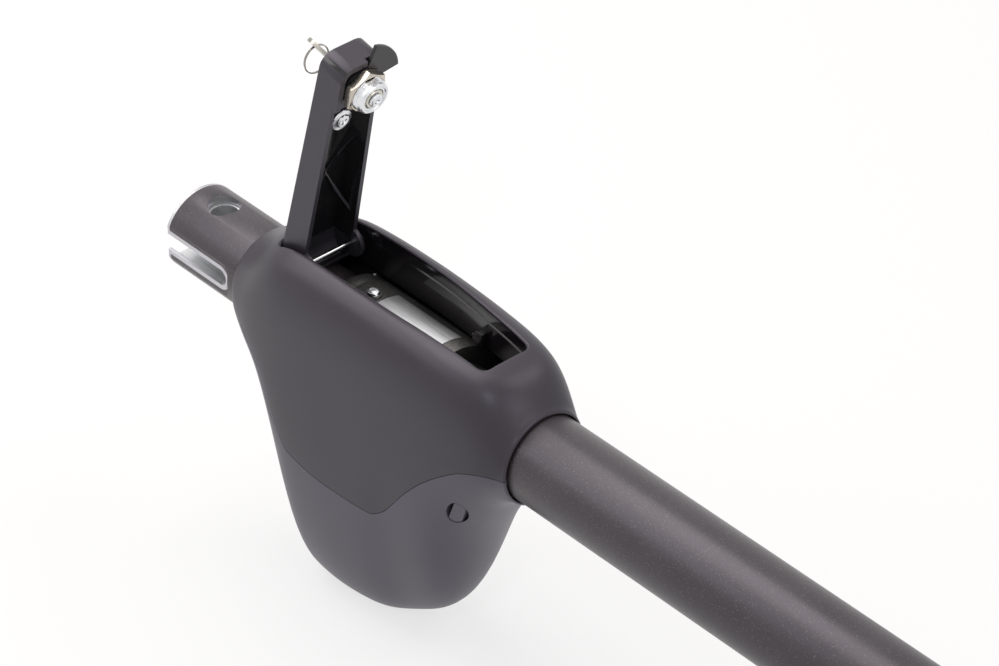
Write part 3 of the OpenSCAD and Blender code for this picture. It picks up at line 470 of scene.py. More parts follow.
def ring_faces(bm, above, below):
    """Faces between two closed rings of points."""
    corners = zip(above, above[1:] + above[:1], below[1:] + below[:1], below)
    return [bm.faces.new(four) for four in corners]


targets = [rim_target(vert, x) for vert, x in rim]
tops = [vert.co.copy() for vert, _ in rim]
levels = [[vert for vert, _ in rim]]
for k in range(1, RIM_TURNS + 1):
    turn = math.radians(90 * k / RIM_TURNS)
    levels.append([bm.verts.new((
        top.x + (tx * MM - top.x) * math.sin(turn), top.y + (ty * MM - top.y) * math.sin(turn),
        top.z - RIM_ROUND * MM * (1 - math.cos(turn)))) for top, (tx, ty) in zip(tops, targets)])
for drop, inward in ((STEP_DROP - 0.3, 0.0), (STEP_DROP, 0.3), (STEP_DROP, STEP_IN - 0.2),
                     (STEP_DROP + 0.2, STEP_IN), (None, STEP_IN)):
    ring = []
    for top, (tx, ty) in zip(tops, targets):
        ahead = min(max((tx - STEP_FROM) / STEP_GROWS, 0.0), 1.0) * inward
        half = window_half(min(max(tx, WINDOW_REAR), WINDOW_FRONT))
        y = ty * (1 - ahead / half)
        x = tx - ahead * max((tx - STEP_TURNS) / (WINDOW_FRONT - STEP_TURNS), 0.0)
        z = SKIRT_BOTTOM * MM if drop is None else top.z - drop * MM
        ring.append(bm.verts.new((x * MM, y * MM, z)))
    levels.append(ring)
# The last turn of the rim and the wall below it take the darker copy: painted shade in the window.
for depth, (above, below) in enumerate(zip(levels, levels[1:])):
    for face in ring_faces(bm, above, below):
        face.material_index = int(depth >= RIM_TURNS - 1)
skin_outward(bm, 1)

SHELL_WALL, COLLAR_WALL, COLLAR_LONG, WALL_GROWS = 2.4, 1.35, 6.0, 14.0


def wall_at(x):
    """Wall of the shells, thinner where they close round the tubes."""
    end = min(x - HOUSING_REAR, HOUSING_FRONT - x)
    grown_by = min(max((end - COLLAR_LONG) / WALL_GROWS, 0.0), 1.0)
    return COLLAR_WALL + (SHELL_WALL - COLLAR_WALL) * grown_by


def thickened(bm):
    """The same skin with its inner side and closed edges."""
    bm.normal_update()
    bmesh.ops.delete(bm, geom=[v for v in bm.verts if not v.link_faces], context="VERTS")
    inner = {v: bm.verts.new(v.co - v.normal * wall_at(v.co.x / MM) * MM) for v in list(bm.verts)}
    skin = list(bm.faces)
    borders = [(e, e.link_faces[0]) for e in bm.edges if e.is_boundary]
    for face in skin:
        bm.faces.new([inner[v] for v in reversed(face.verts)]).material_index = face.material_index
    for edge, face in borders:
        loop = next(l for l in face.loops if l.edge == edge)
        a, b = loop.vert, loop.link_loop_next.vert
        bm.faces.new((b, a, inner[a], inner[b]))


bmesh.ops.remove_doubles(bm, verts=bm.verts, dist=SAME_POINT)
thickened(bm)
MOULDED_SHARP = 40.0
upper_grey = grained("moulded_warm_grey", (0.02, 0.0172, 0.0225), (0.033, 0.0285, 0.0365),
                     1900.0, (0.33, 0.45), 0.3, Specular_Tint=COOL_GLOSS)
upper = made(bm, "upper_shell_moulding", upper_grey, "arm", ("upper_shell",),
             MOULDED_SHARP)
# The window's wall: the shell's plastic, polished, in a near-black copy of its colour that is
# painted shade inside the window.
window_painted_shade = grained("window_polished_painted_shade", (0.0085, 0.0072, 0.0088), (0.012, 0.0104, 0.0124),
                       300.0, (0.11, 0.16), 0.02, Specular_IOR_Level=0.32)
upper.data.materials.append(window_painted_shade)

# Lid keeper: a moulded block on the far wall of the window, part of the upper shell.
# Its top has a step for the latch, and its corners are softened.

KEEPER_X, KEEPER_Y, KEEPER_Z = (186.5, 194.5), (14.2, 20.6), (28.8, 36.5)
KEEPER_STEP, KEEPER_NOTCH, KEEPER_SEAM = 2.4, 2.6, 0.01
KEEPER_EDGE, KEEPER_SHARP = 0.35, 25.0


def boxed(bm, x, y, z, matrix=Matrix.Identity(4)):
    """A block between two places on each axis."""
    for vert in bmesh.ops.create_cube(bm, size=1.0)["verts"]:
        vert.co = matrix @ (Vector([low + (high - low) * (c + 0.5)
                                    for (low, high), c in zip((x, y, z), vert.co)]) * MM)


bm = bmesh.new()
boxed(bm, KEEPER_X, KEEPER_Y, (KEEPER_Z[0], KEEPER_Z[1] - KEEPER_STEP))
boxed(bm, (KEEPER_X[0] + KEEPER_NOTCH, KEEPER_X[1]), KEEPER_Y,
      (KEEPER_Z[1] - KEEPER_STEP + KEEPER_SEAM, KEEPER_Z[1]))
softened(bm, KEEPER_EDGE, KEEPER_SHARP)
# The keeper takes the window wall's darkened colour, painted shade deep in the window.
made(bm, "lid_keeper_block", window_painted_shade, "arm", ())

# Lower shell: the same plastic in a cooler grey with a finer texture, hanging below the parting
# line round the motor. A screw boss opens in each flank as a leaning oval recess.

PARTING_GAP, LOWER_POINTS = 0.4, 62
RECESS_X, RECESS_Z, RECESS_FLOOR, RECESS_REACH = 222.6, -41.2, 13.0, 60.0
RECESS_HALF_WIDE, RECESS_HALF_TALL, RECESS_LEAN = 5.0, 9.6, math.radians(24.0)
RECESS_SIDES = 96

bm = bmesh.new()
rows = []
for x, _, _ in stations:
    form = section(x)
    start = angle_where(form, 1, parting(x) - PARTING_GAP)
    half_row = [rolled(form, start)] + even_points(form, start, -math.pi / 2, LOWER_POINTS)
    rows.append(add_row(bm, x, half_row, 1))
grid_faces(bm, rows)
skin_outward(bm, -1)
thickened(bm)


def lathe(bm, profile, turns=64, matrix=Matrix.Identity(4)):
    """Turns a profile of (radius, height) about Z. Either may be a function of the angle, and a
    radius of 0 closes the shape."""
    rings = []
    for r, h in profile:
        if r == 0:
            rings.append([bm.verts.new(matrix @ Vector((0, 0, h * MM)))])
            continue
        ring = []
        for k in range(turns):
            angle = 2 * math.pi * k / turns
            radius = r(angle) if callable(r) else r
            height = h(angle) if callable(h) else h
            place = Vector((radius * math.cos(angle), radius * math.sin(angle), height)) * MM
            ring.append(bm.verts.new(matrix @ place))
        rings.append(ring)
    for a, b in zip(rings, rings[1:]):
        for k in range(turns):
            n = (k + 1) % turns
            corners = [a[k % len(a)], a[n % len(a)], b[n % len(b)], b[k % len(b)]]
            unique = list(dict.fromkeys(corners))
            if len(unique) > 2:
                bm.faces.new(unique)


def oval(grow=0.0):
    """Outline of the recess, as a radius for each angle."""
    wide, tall = RECESS_HALF_WIDE + grow, RECESS_HALF_TALL + grow
    return lambda angle: wide * tall / math.hypot(tall * math.cos(angle + RECESS_LEAN),
                                                  wide * math.sin(angle + RECESS_LEAN))


def moved(x, y, z):
    return Matrix.Translation((x * MM, y * MM, z * MM))


def on_flank(side):
    """Frame on a flank: X along the arm, Y up it, Z outwards."""
    axes = Matrix(((1, 0, 0), (0, 0, 1), (0, side, 0))).transposed()
    return moved(RECESS_X, 0, RECESS_Z) @ axes.to_4x4()


lower_grey = grained("moulded_cool_grey", (0.062, 0.057, 0.076), (0.087, 0.081, 0.106),
                     2400.0, (0.34, 0.44), 0.16, Specular_Tint=COOL_GLOSS)
lower = made(bm, "lower_shell_moulding", lower_grey, "arm", ("lower_shell",),
             MOULDED_SHARP)


def cut_away(obj, bm):
    """Takes a closed shape out of a piece."""
    mesh = bpy.data.meshes.new("cutter")
    outward(bm)
    bm.to_mesh(mesh)
    bm.free()
    cutter = bpy.data.objects.new("cutter", mesh)
    bpy.context.scene.collection.objects.link(cutter)
    cut = obj.modifiers.new("recess", "BOOLEAN")
    cut.object = cutter
    cut.operation = "DIFFERENCE"
    cut.solver = "MANIFOLD"
    bpy.context.view_layer.update()
    evaluated = obj.evaluated_get(bpy.context.evaluated_depsgraph_get())
    shaped = bpy.data.meshes.new_from_object(evaluated)
    obj.modifiers.clear()
    old, obj.data = obj.data, shaped
    shaped.name = old.name
    bpy.data.meshes.remove(old)
    bpy.data.objects.remove(cutter)
    bpy.data.meshes.remove(mesh)


cutters = bmesh.new()
for side in (-1, 1):
    lathe(cutters, [(0, RECESS_FLOOR), (oval(), RECESS_FLOOR), (oval(), RECESS_REACH),
                    (0, RECESS_REACH)], RECESS_SIDES, on_flank(side))
cut_away(lower, cutters)

# Recess sleeves: the moulded bosses behind the two holes, closed at the bottom for the screw.
# They are part of the lower shell and share its colour.

SLEEVE_WALL, SLEEVE_IN_SKIN, SLEEVE_GAP = 1.6, 1.3, 0.02


def flank(outline, below):
    """Height under the shell's skin, round an outline about the recess."""
    def height(angle):
        radius = outline(angle)
        form = section(RECESS_X + radius * math.cos(angle))
        z = RECESS_Z + radius * math.sin(angle)
        return on_section(form, angle_where(form, 1, z))[0] - below
    return height


inner, outer = oval(SLEEVE_GAP), oval(SLEEVE_WALL)
bm = bmesh.new()
for side in (-1, 1):
    lathe(bm, [(0, RECESS_FLOOR - SLEEVE_WALL), (outer, RECESS_FLOOR - SLEEVE_WALL),
               (outer, flank(outer, SLEEVE_IN_SKIN)), (inner, flank(inner, SLEEVE_IN_SKIN)),
               (inner, RECESS_FLOOR), (0, RECESS_FLOOR)], RECESS_SIDES, on_flank(side))
made(bm, "recess_sleeves", lower_grey, "arm", ())

# Side plugs: caps of the shell's grey plastic pressed into the recesses over the screws. Each
# follows the flank just below the skin, with a flat on both sides for the tool that pulls it out.

PLUG_HALF_WIDE, PLUG_GAP, PLUG_DROP, PLUG_THICK, NEAR_ZERO = 2.9, 0.15, 0.2, 6.0, 1e-6
PLUG_RINGS = [(0.3, 0.0), (0.6, 0.0), (0.85, 0.0), (0.94, 0.06), (0.985, 0.25), (1.0, 0.6),
              (1.0, PLUG_THICK - PLUG_DROP)]


def plug_edge(part):
    """Outline of the plug or of a part of it: the recess's oval between two flats."""
    whole = oval(-PLUG_GAP)

    def radius(angle):
        across = max(abs(math.cos(angle + RECESS_LEAN)), NEAR_ZERO)
        return part * min(whole(angle), PLUG_HALF_WIDE / across)
    return radius


bm = bmesh.new()
for side in (-1, 1):
    middle = flank(lambda angle: 0.0, PLUG_DROP)(0.0)
    rings = [(plug_edge(part), flank(plug_edge(part), PLUG_DROP + sunk))
             for part, sunk in PLUG_RINGS]
    lathe(bm, [(0, middle)] + rings + [(0, middle - PLUG_THICK)], RECESS_SIDES, on_flank(side))
made(bm, "side_plug_caps", lower_grey, "arm", ("side_plugs",))

# Cable gland: black nylon gland with a six-sided nut and a domed cap, the inlet for the motor's
# current. It is screwed into the rear wall of the lower shell.

gland_black = grained("gland_nylon", (0.007, 0.007, 0.0075), (0.014, 0.014, 0.0145), 900.0,
                      (0.32, 0.42), 0.1)
refined("cable_gland", "cable_gland_body", gland_black, 0.4, "arm")

# Collar seal: soft black rubber ring that closes the gap between the drive tube and the shells'
# collar. It is only pressed in.

seal_rubber = grained("seal_rubber", (0.004, 0.004, 0.004), (0.009, 0.009, 0.009), 1400.0,
                      (0.55, 0.7), 0.2)
refined("collar_seal", "collar_seal_ring", seal_rubber, 0.25, "arm")

# Gear case: aluminium die casting round the screw's gear, with a spigot for the drive tube.
# The cast skin is rough and dull; only its joint faces are machined.

cast_metal = grained("cast_aluminium", (0.1, 0.098, 0.095), (0.17, 0.168, 0.165), 700.0,
                     (0.38, 0.6), 0.5, Metallic=1.0)
refined("gear_case", "gear_case_casting", cast_metal, 0.5, "arm")

# Gear case cover: the casting that closes the rear of the case and takes the screw's rear bearing.
# Four screws hold it.

refined("gear_case_cover", "gear_case_cover_casting", cast_metal, 0.5, "arm")

# Case screw and cover screws: zinc-plated steel, bright with a slight blue tint.
# The plating is smooth, with faint turning marks.

zinc = tooled("zinc_plate", (0.66, 0.67, 0.69), (0.84, 0.85, 0.87), (500.0, 500.0, 500.0),
              (0.18, 0.34), 0.06)
CASE_SCREW_X, CASE_SCREW_SEAT, BLADE_TAPER = 124.5, 32.5, 0.45
CASE_SCREW_PROFILE = [(0, -4.9), (1.6, -4.9), (1.9, -4.6), (1.9, 0.05), (3.5, 0.05), (3.8, 0.35),
                      (3.75, 1.2), (3.3, 1.9), (2.4, 2.3), (0, 2.4)]


def turned(degrees, axis):
    return Matrix.Rotation(math.radians(degrees), 4, axis)


def pan_screw(node, piece, body, profile, sides, matrix, cross, turn):
    """A turned screw. A driver's cross of a span, width and depth is cut into its head."""
    bm = bmesh.new()
    lathe(bm, profile, sides, matrix)
    screw = made(bm, piece, zinc, body, (node,))
    span, width, depth = cross
    for blade_turn in (turn, turn + 90):
        bm = bmesh.new()
        boxed(bm, (-span / 2, span / 2), (-width / 2, width / 2), (-depth, 1.0))
        for vert in bm.verts:
            if vert.co.z < 0:
                vert.co.x *= BLADE_TAPER
        head_top = matrix @ moved(0, 0, profile[-1][1])
        bmesh.ops.transform(bm, matrix=head_top @ turned(blade_turn, "Z"), verts=bm.verts)
        cut_away(screw, bm)


pan_screw("case_screw", "case_screw_pan", "arm", CASE_SCREW_PROFILE, 48,
          moved(CASE_SCREW_X, 0, CASE_SCREW_SEAT), (4.0, 0.9, 1.3), 20.0)
refined("cover_screws", "cover_screws_headed", zinc, 0.2, "arm")

# Case plate: thin aluminium sheet bent over the case and glued on, brushed along the arm.
# It is left bare.

plate_metal = tooled("brushed_sheet", (0.5, 0.505, 0.52), (0.64, 0.645, 0.66),
                     (25.0, 1500.0, 1500.0), (0.4, 0.52), 0.06)
refined("case_plate", "case_plate_sheet", plate_metal, 0.08, "arm")

# Bearings of the lead screw: ground steel, pressed into the cover and the case, with a spring ring
# in front of the larger one.

ground_steel = tooled("ground_steel", (0.42, 0.43, 0.44), (0.62, 0.63, 0.64),
                      (900.0, 60.0, 60.0), (0.14, 0.28), 0.05)
along_arm = turned(90, "Y")
REAR_JOURNAL_R, FRONT_JOURNAL_R, RUNNING = 5.0, 7.5, 0.05
RACE_SHARE, SHIELD_IN, SEAM = 0.27, 0.6, 1e-7


def ring_lathe(bm, profile, turns, matrix):
    """Turns a profile that closes on itself."""
    lathe(bm, profile + profile[:1], turns, matrix)
    bmesh.ops.remove_doubles(bm, verts=bm.verts, dist=SEAM)


def ball_bearing(bm, inner, outer, start, end, matrix):
    """Two races with a shield set in between them on both faces."""
    race = RACE_SHARE * (outer - inner)
    half = [(inner, 0.4), (inner + 0.4, 0.0), (inner + race, 0.0), (inner + race, SHIELD_IN),
            (outer - race, SHIELD_IN), (outer - race, 0.0), (outer - 0.5, 0.0), (outer, 0.5)]
    profile = [(r, start + h) for r, h in half] + [(r, end - h) for r, h in reversed(half)]
    ring_lathe(bm, profile, 64, matrix)


for node, journal in (("rear_bearing", REAR_JOURNAL_R), ("front_bearing", FRONT_JOURNAL_R)):
    low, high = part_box(node)
    bm = bmesh.new()
    ball_bearing(bm, journal + RUNNING, high[2] / MM, low[0] / MM, high[0] / MM, along_arm)
    made(bm, node + "_shielded", ground_steel, "arm", (node,))
dark_steel = tooled("dark_steel", (0.16, 0.165, 0.17), (0.3, 0.31, 0.32),
                    (700.0, 80.0, 80.0), (0.2, 0.36), 0.08)
refined("bearing_ring", "bearing_spring_ring", dark_steel, 0.15, "arm")

# Motor can: deep-drawn steel cup in black paint, hanging from the motor plate in the bulge.
# The plate is a machined casting with four screws.

motor_paint = grained("motor_paint", (0.01, 0.01, 0.011), (0.018, 0.018, 0.02), 600.0,
                      (0.28, 0.4), 0.12)
refined("motor_can", "motor_can_cup", motor_paint, 0.5, "arm")
refined("motor_plate", "motor_plate_casting", cast_metal, 0.4, "arm")
MOTOR_X, MOTOR_BEARING_R, MOTOR_BEARING_WIDTH, MOTOR_SHAFT_R = 150.0, 9.5, 6.0, 3.0
low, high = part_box("motor_bearings")
motor_frame = moved(MOTOR_X, 0, 0)
bm = bmesh.new()
for start in (low[2] / MM, high[2] / MM - MOTOR_BEARING_WIDTH):
    ball_bearing(bm, MOTOR_SHAFT_R + RUNNING, MOTOR_BEARING_R, start,
                 start + MOTOR_BEARING_WIDTH, motor_frame)
made(bm, "motor_bearings_shielded", ground_steel, "arm", ("motor_bearings",))
refined("motor_screws", "motor_screws_headed", zinc, 0.2, "arm")

# Stator and rotor: stacks of punched steel sheets, so their sides show fine rings. The rotor has
# skewed slots, and enamelled copper coils are bundled round both ends of the stator.

sheet_stack = tooled("sheet_stack", (0.1, 0.1, 0.105), (0.3, 0.3, 0.31),
                     (8.0, 8.0, 2200.0), (0.3, 0.5), 0.5)
refined("stator_core", "stator_stack", sheet_stack, 0.2, "arm")
copper_wire = tooled("copper_wire", (0.36, 0.12, 0.04), (0.72, 0.32, 0.14),
                     (160.0, 160.0, 1300.0), (0.22, 0.38), 0.8)
COIL_COUNT, COIL_MIDDLE, COIL_HALF, COIL_HEIGHT = 12, 20.5, 2.95, 6.0
COIL_SIDES, COIL_SQUARE, COIL_PINCH = 16, 0.6, 0.22


def coil_point(turn, middle_height):
    """A point of the coils' rounded cross-section, which swells in the middle of each coil."""
    across, up = (math.copysign(abs(v) ** COIL_SQUARE, v) for v in (math.cos(turn), math.sin(turn)))

    def swell(angle):
        return 1 - COIL_PINCH + COIL_PINCH * abs(math.sin(COIL_COUNT * angle / 2))
    return (lambda angle: COIL_MIDDLE + COIL_HALF * across * swell(angle),
            lambda angle: middle_height + COIL_HEIGHT / 2 * up * swell(angle))


low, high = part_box("windings")
bm = bmesh.new()
for middle in (low[2] / MM + COIL_HEIGHT / 2, high[2] / MM - COIL_HEIGHT / 2):
    ring_lathe(bm, [coil_point(2 * math.pi * k / COIL_SIDES, middle) for k in range(COIL_SIDES)],
               120, motor_frame)
made(bm, "winding_coils", copper_wire, "arm", ("windings",))

ROTOR_R, ROTOR_SLOTS, ROTOR_SKEW, ROTOR_CUT, ROTOR_CUT_SHARE = 15.0, 14, 0.02, 1.2, 0.16
ROTOR_LOW, ROTOR_HIGH, SHAFT_LOW, SHAFT_HIGH = -99.0, -69.0, -115.8, -17.8


def rotor_edge(height):
    def radius(angle):
        phase = (ROTOR_SLOTS * angle / (2 * math.pi) + ROTOR_SKEW * height) % 1.0
        return ROTOR_R - (ROTOR_CUT if phase < ROTOR_CUT_SHARE else 0.0)
    return radius


bm = bmesh.new()
stack = [ROTOR_LOW + (ROTOR_HIGH - ROTOR_LOW) * k / 30 for k in range(31)]
lathe(bm, [(0, SHAFT_LOW), (2.7, SHAFT_LOW), (MOTOR_SHAFT_R, SHAFT_LOW + 0.3),
           (MOTOR_SHAFT_R, ROTOR_LOW)] + [(rotor_edge(h), h) for h in stack]
      + [(MOTOR_SHAFT_R, ROTOR_HIGH), (MOTOR_SHAFT_R, SHAFT_HIGH - 0.3), (2.7, SHAFT_HIGH),
         (0, SHAFT_HIGH)], 168, motor_frame)
made(bm, "rotor_slotted", sheet_stack, "rotor", ("rotor",))

# Motor pinion and crown gear: a hobbed steel pinion on the motor's shaft turns a bronze gear on the
# lead screw.

refined("motor_pinion", "motor_pinion_cut", dark_steel, 0.1, "rotor")
bronze = tooled("turned_bronze", (0.36, 0.23, 0.09), (0.6, 0.42, 0.2),
                (600.0, 90.0, 90.0), (0.2, 0.36), 0.1)
refined("crown_gear", "crown_gear_cut", bronze, 0.1, "screw")

# Lead screw: rolled steel screw with a steep four-start thread that pushes the bronze nut along
# the drive tube. Its plain journals run in the two bearings.

SCREW_R, SCREW_DEPTH, SCREW_LEAD, SCREW_STARTS = 7.0, 1.3, 12.0, 4
SCREW_REAR, SCREW_FRONT, THREAD_REAR, THREAD_STEP = 105.1, 585.0, 204.0, 0.6
GEAR_SEAT, GEAR_SHOULDER, FRONT_SEAT = 113.5, 176.5, 189.9


def flight(along):
    """Radius of the thread round the screw at a place along it."""
    def radius(angle):
        phase = SCREW_STARTS * (along / SCREW_LEAD + angle / (2 * math.pi)) % 1.0
        return SCREW_R - SCREW_DEPTH * min(max(4 * abs(phase - 0.5) - 0.5, 0.0), 1.0)
    return radius


bm = bmesh.new()
core = SCREW_R - SCREW_DEPTH
thread_steps = round((SCREW_FRONT - 1.5 - THREAD_REAR) / THREAD_STEP)
threads = [THREAD_REAR + THREAD_STEP * k for k in range(thread_steps)]
journals = [(0, SCREW_REAR), (4.6, SCREW_REAR), (REAR_JOURNAL_R, SCREW_REAR + 0.4),
            (REAR_JOURNAL_R, GEAR_SEAT), (5.9, GEAR_SEAT), (5.98, GEAR_SEAT + 0.4),
            (5.98, GEAR_SHOULDER), (8.7, GEAR_SHOULDER), (9.0, GEAR_SHOULDER + 0.3),
            (9.0, FRONT_SEAT), (FRONT_JOURNAL_R, FRONT_SEAT), (FRONT_JOURNAL_R, 202.6),
            (core, 203.6)]
tip = [(core, SCREW_FRONT - 1.0), (4.8, SCREW_FRONT), (0, SCREW_FRONT)]
lathe(bm, journals + [(flight(x), x) for x in threads] + tip, 40, along_arm)
made(bm, "lead_screw_rolled", dark_steel, "screw", ("lead_screw",))

# Push rod: a hard-chromed tube fixed to the bronze drive nut, with a forged and zinc-plated eye
# pressed into its front end for the gate's bracket.

refined("drive_nut", "drive_nut_turned", bronze, 0.4, "rod")
chrome = tooled("hard_chrome", (0.4, 0.41, 0.43), (0.52, 0.53, 0.55), (40.0, 700.0, 700.0),
                (0.08, 0.18), 0.02)
refined("push_rod", "push_rod_chromed", chrome, 0.5, "rod")
forged_zinc = tooled("forged_zinc", (0.33, 0.33, 0.35), (0.5, 0.5, 0.52), (260.0, 260.0, 260.0),
                     (0.34, 0.5), 0.1)
refined("rod_end", "rod_end_eye", forged_zinc, 0.6, "rod")

# Drive tube: drawn steel tube in the same powder coat as the rear one, pushed over the case's
# spigot. A plastic bush and a rubber wiper close its front end round the rod.

refined("drive_tube", "drive_tube_drawn", tube_coat, 0.35, "arm")
refined("end_bush", "end_bush_turned", gland_black, 0.5, "arm")
refined("rod_wiper", "rod_wiper_ring", seal_rubber, 0.25, "arm")

# Lid: moulded plastic cover on a hinge pin at the window's rear, satin outside and polished in its
# ribbed hollow, where a darker copy of its colour is painted shade. Its front end is solid round
# the lock, with a raised rim on the near side.

HINGE_X, HINGE_Z, LID_OPEN = 88.3, 39.2, 77.4
LID_LENGTH, LID_REAR_HALF, LID_FRONT_HALF = 139.4, 18.2, 14.7
LID_REAR_DEPTH, LID_FRONT_DEPTH, RIB_TOP_UNDER = 16.8, 14.0, 11.0
LID_SKIN, LID_EDGE = 1.0, 0.3
lid_frame = moved(HINGE_X, 0, HINGE_Z) @ turned(-LID_OPEN, "Y")

lid_satin = grained("lid_satin", (0.025, 0.023, 0.029), (0.038, 0.035, 0.044), 1700.0,
                    (0.36, 0.46), 0.2, Specular_Tint=COOL_GLOSS)
lid_polished_painted_shade = grained("lid_polished_painted_shade", (0.013, 0.0125, 0.014), (0.02, 0.019, 0.0215), 400.0,
                       (0.1, 0.16), 0.03)
lid = refined("lid", "lid_moulding", lid_satin, 0.3, "lid", flat_over=100.0)
lid.data.materials.append(lid_polished_painted_shade)
# Faces in the hollow take the darker copy, painted shade; the rib tops keep the outside colour and
# so stand out as lighter lines, a painted highlight along each rib.
for face in lid.data.polygons:
    place = lid_frame.inverted() @ face.center / MM
    ahead = place.x / LID_LENGTH
    side_in = LID_REAR_HALF + (LID_FRONT_HALF - LID_REAR_HALF) * ahead - abs(place.y)
    top_in = LID_REAR_DEPTH + (LID_FRONT_DEPTH - LID_REAR_DEPTH) * ahead - place.z
    rib_top = (lid_frame.to_3x3().inverted() @ face.normal).z < -0.5 and place.z < RIB_TOP_UNDER
    in_hollow = (min(side_in, top_in) > LID_SKIN and place.z > LID_EDGE
                 and 0 < place.x < LID_LENGTH - LID_SKIN)
    face.material_index = int(in_hollow and not rib_top)

# Hinge pin: bright drawn wire through the shell's wall and the lid's ears.
# It is pressed into the wall, and the lid turns on it.

refined("hinge_pin", "hinge_pin_drawn", ground_steel, 0.3, "arm")

# Lid screw: zinc-plated pan-head screw with a wide pressed flange and a driver's cross, turned into
# a boss on the lid's inner face.

LID_SCREW_ALONG, LID_SCREW_SEAT = 92.0, 7.5
LID_SCREW_PROFILE = [(0, -3.8), (1.7, -3.8), (2.0, -3.5), (2.0, 0.1), (6.1, 0.1), (6.45, 0.4),
                     (6.5, 0.8), (6.2, 1.2), (4.7, 1.45), (4.15, 1.6), (4.05, 2.0), (3.7, 2.5),
                     (2.8, 2.75), (0, 2.8)]


def facing_in(along, height):
    """Frame on the lid whose Z axis points out of its hollow."""
    return lid_frame @ moved(along, 0, height) @ turned(180, "X")


pan_screw("lid_screw", "lid_screw_flanged", "lid", LID_SCREW_PROFILE, 64,
          facing_in(LID_SCREW_ALONG, LID_SCREW_SEAT), (5.6, 1.15, 1.6), 45.0)

# Lock barrel: zinc-plated die casting through the lid's end, threaded for its nut and flattened on
# two sides. Its stepped inner end carries the plug's end screw.

LOCK_ALONG, BARREL_R, BARREL_END, BARREL_BORE = 123.0, 10.0, -14.0, 6.15
THREAD_DEPTH, THREAD_PITCH, BARREL_FLAT, CUT_REACH = 0.5, 1.25, 9.0, 20.0
LOCK_SEAT, LOCK_HEAD_R, LOCK_TOP = 14.67, 12.0, 16.67
lock_frame = lid_frame @ moved(LOCK_ALONG, 0, 0)


def thread_edge(height):
    def radius(angle):
        phase = (height / THREAD_PITCH - angle / (2 * math.pi)) % 1.0
        return BARREL_R - THREAD_DEPTH * abs(2 * phase - 1)
    return radius


END_PROFILE = [(BARREL_BORE, 0.7), (7.3, 0.7), (7.5, 0.5), (7.5, 0.1), (7.6, 0), (8.6, 0),
               (9.3, 0.7), (9.3, 2.3)]
inner_end = [(r, BARREL_END + h) for r, h in END_PROFILE]
threads = [BARREL_END + 2.6 + THREAD_PITCH * k / 10 for k in range(24)]
lock_head = [(9.5, -8.3), (9.98, -8.0), (9.98, LOCK_SEAT), (LOCK_HEAD_R - 0.3, LOCK_SEAT),
             (LOCK_HEAD_R, LOCK_SEAT + 0.3), (LOCK_HEAD_R, LOCK_TOP - 0.8),
             (LOCK_HEAD_R - 0.8, LOCK_TOP), (BARREL_BORE + 0.5, LOCK_TOP),
             (BARREL_BORE, LOCK_TOP - 0.4)]
bm = bmesh.new()
ring_lathe(bm, inner_end + [(thread_edge(h), h) for h in threads] + lock_head, 96, lock_frame)
barrel = made(bm, "lock_barrel_threaded", zinc, "lid", ("lock_barrel",))
for side in (-1, 1):
    bm = bmesh.new()
    boxed(bm, sorted((side * BARREL_FLAT, side * CUT_REACH)), (-CUT_REACH, CUT_REACH),
          (BARREL_END - 1.0, 0.0), lock_frame)
    cut_away(barrel, bm)

# Lock nut: nickel-plated hexagon nut that clamps the barrel to the lid.
# Its corners are chamfered in turning.

nickel = tooled("nickel_plate", (0.44, 0.4, 0.34), (0.68, 0.63, 0.55), (700.0, 700.0, 120.0),
                (0.14, 0.28), 0.08)
NUT_FLATS, NUT_FRONT, NUT_BACK, NUT_BORE = 22.5, -8.5, -3.0, 10.05
NUT_FACE_R, NUT_SLOPE, NUT_SHARP = 10.95, 0.58, 20.0


def nut_edge(angle):
    return NUT_FLATS / 2 / math.cos(angle % math.radians(60) - math.radians(30))


def nut_chamfer(face, inwards):
    return lambda angle: face + inwards * NUT_SLOPE * (nut_edge(angle) - NUT_FACE_R)


bm = bmesh.new()
ring_lathe(bm, [(NUT_BORE, NUT_FRONT + 0.4), (NUT_BORE + 0.35, NUT_FRONT), (NUT_FACE_R, NUT_FRONT),
                (nut_edge, nut_chamfer(NUT_FRONT, 1)), (nut_edge, nut_chamfer(NUT_BACK, -1)),
                (NUT_FACE_R, NUT_BACK), (NUT_BORE + 0.35, NUT_BACK), (NUT_BORE, NUT_BACK - 0.4)],
           144, lock_frame)
made(bm, "lock_nut_chamfered", nickel, "lid", ("lock_nut",), NUT_SHARP)

# Lock plug: turned brass with a thin nickel coat, which the key turns in the barrel.
# The key's slot is milled through its outer end.

PLUG_TURNED_R, PLUG_OUTER, KEY_TURN, KEY_TIP = 6.0, 17.05, -37.0, -3.0
KEY_HALF, KEY_HALF_THICK, KEY_PLAY = 3.7, 1.1, 0.2
key_frame = lock_frame @ turned(KEY_TURN, "Z")
plug_plate = tooled("plated_brass", (0.5, 0.48, 0.43), (0.7, 0.68, 0.63), (600.0, 600.0, 90.0),
                    (0.18, 0.3), 0.08)
bm = bmesh.new()
lathe(bm, [(0, -4.0), (2.1, -4.0), (2.1, BARREL_END + 0.05), (5.2, BARREL_END + 0.05),
           (5.6, BARREL_END + 0.35), (5.6, BARREL_END + 0.8), (PLUG_TURNED_R, BARREL_END + 1.2),
           (PLUG_TURNED_R, PLUG_OUTER - 0.4), (PLUG_TURNED_R - 0.4, PLUG_OUTER), (0, PLUG_OUTER)],
      64, lock_frame)
plug = made(bm, "lock_plug_turned", plug_plate, "plug", ("lock_plug",))
slot_half, slot_thick = KEY_HALF + KEY_PLAY, KEY_HALF_THICK + 0.15
bm = bmesh.new()
boxed(bm, (-slot_half, slot_half), (-slot_thick, slot_thick), (KEY_TIP - 0.5, CUT_REACH), key_frame)
cut_away(plug, bm)

# Lock end screw: zinc-plated pan-head screw in the plug's inner end that keeps it in the barrel.
# Its head has a driver's cross.

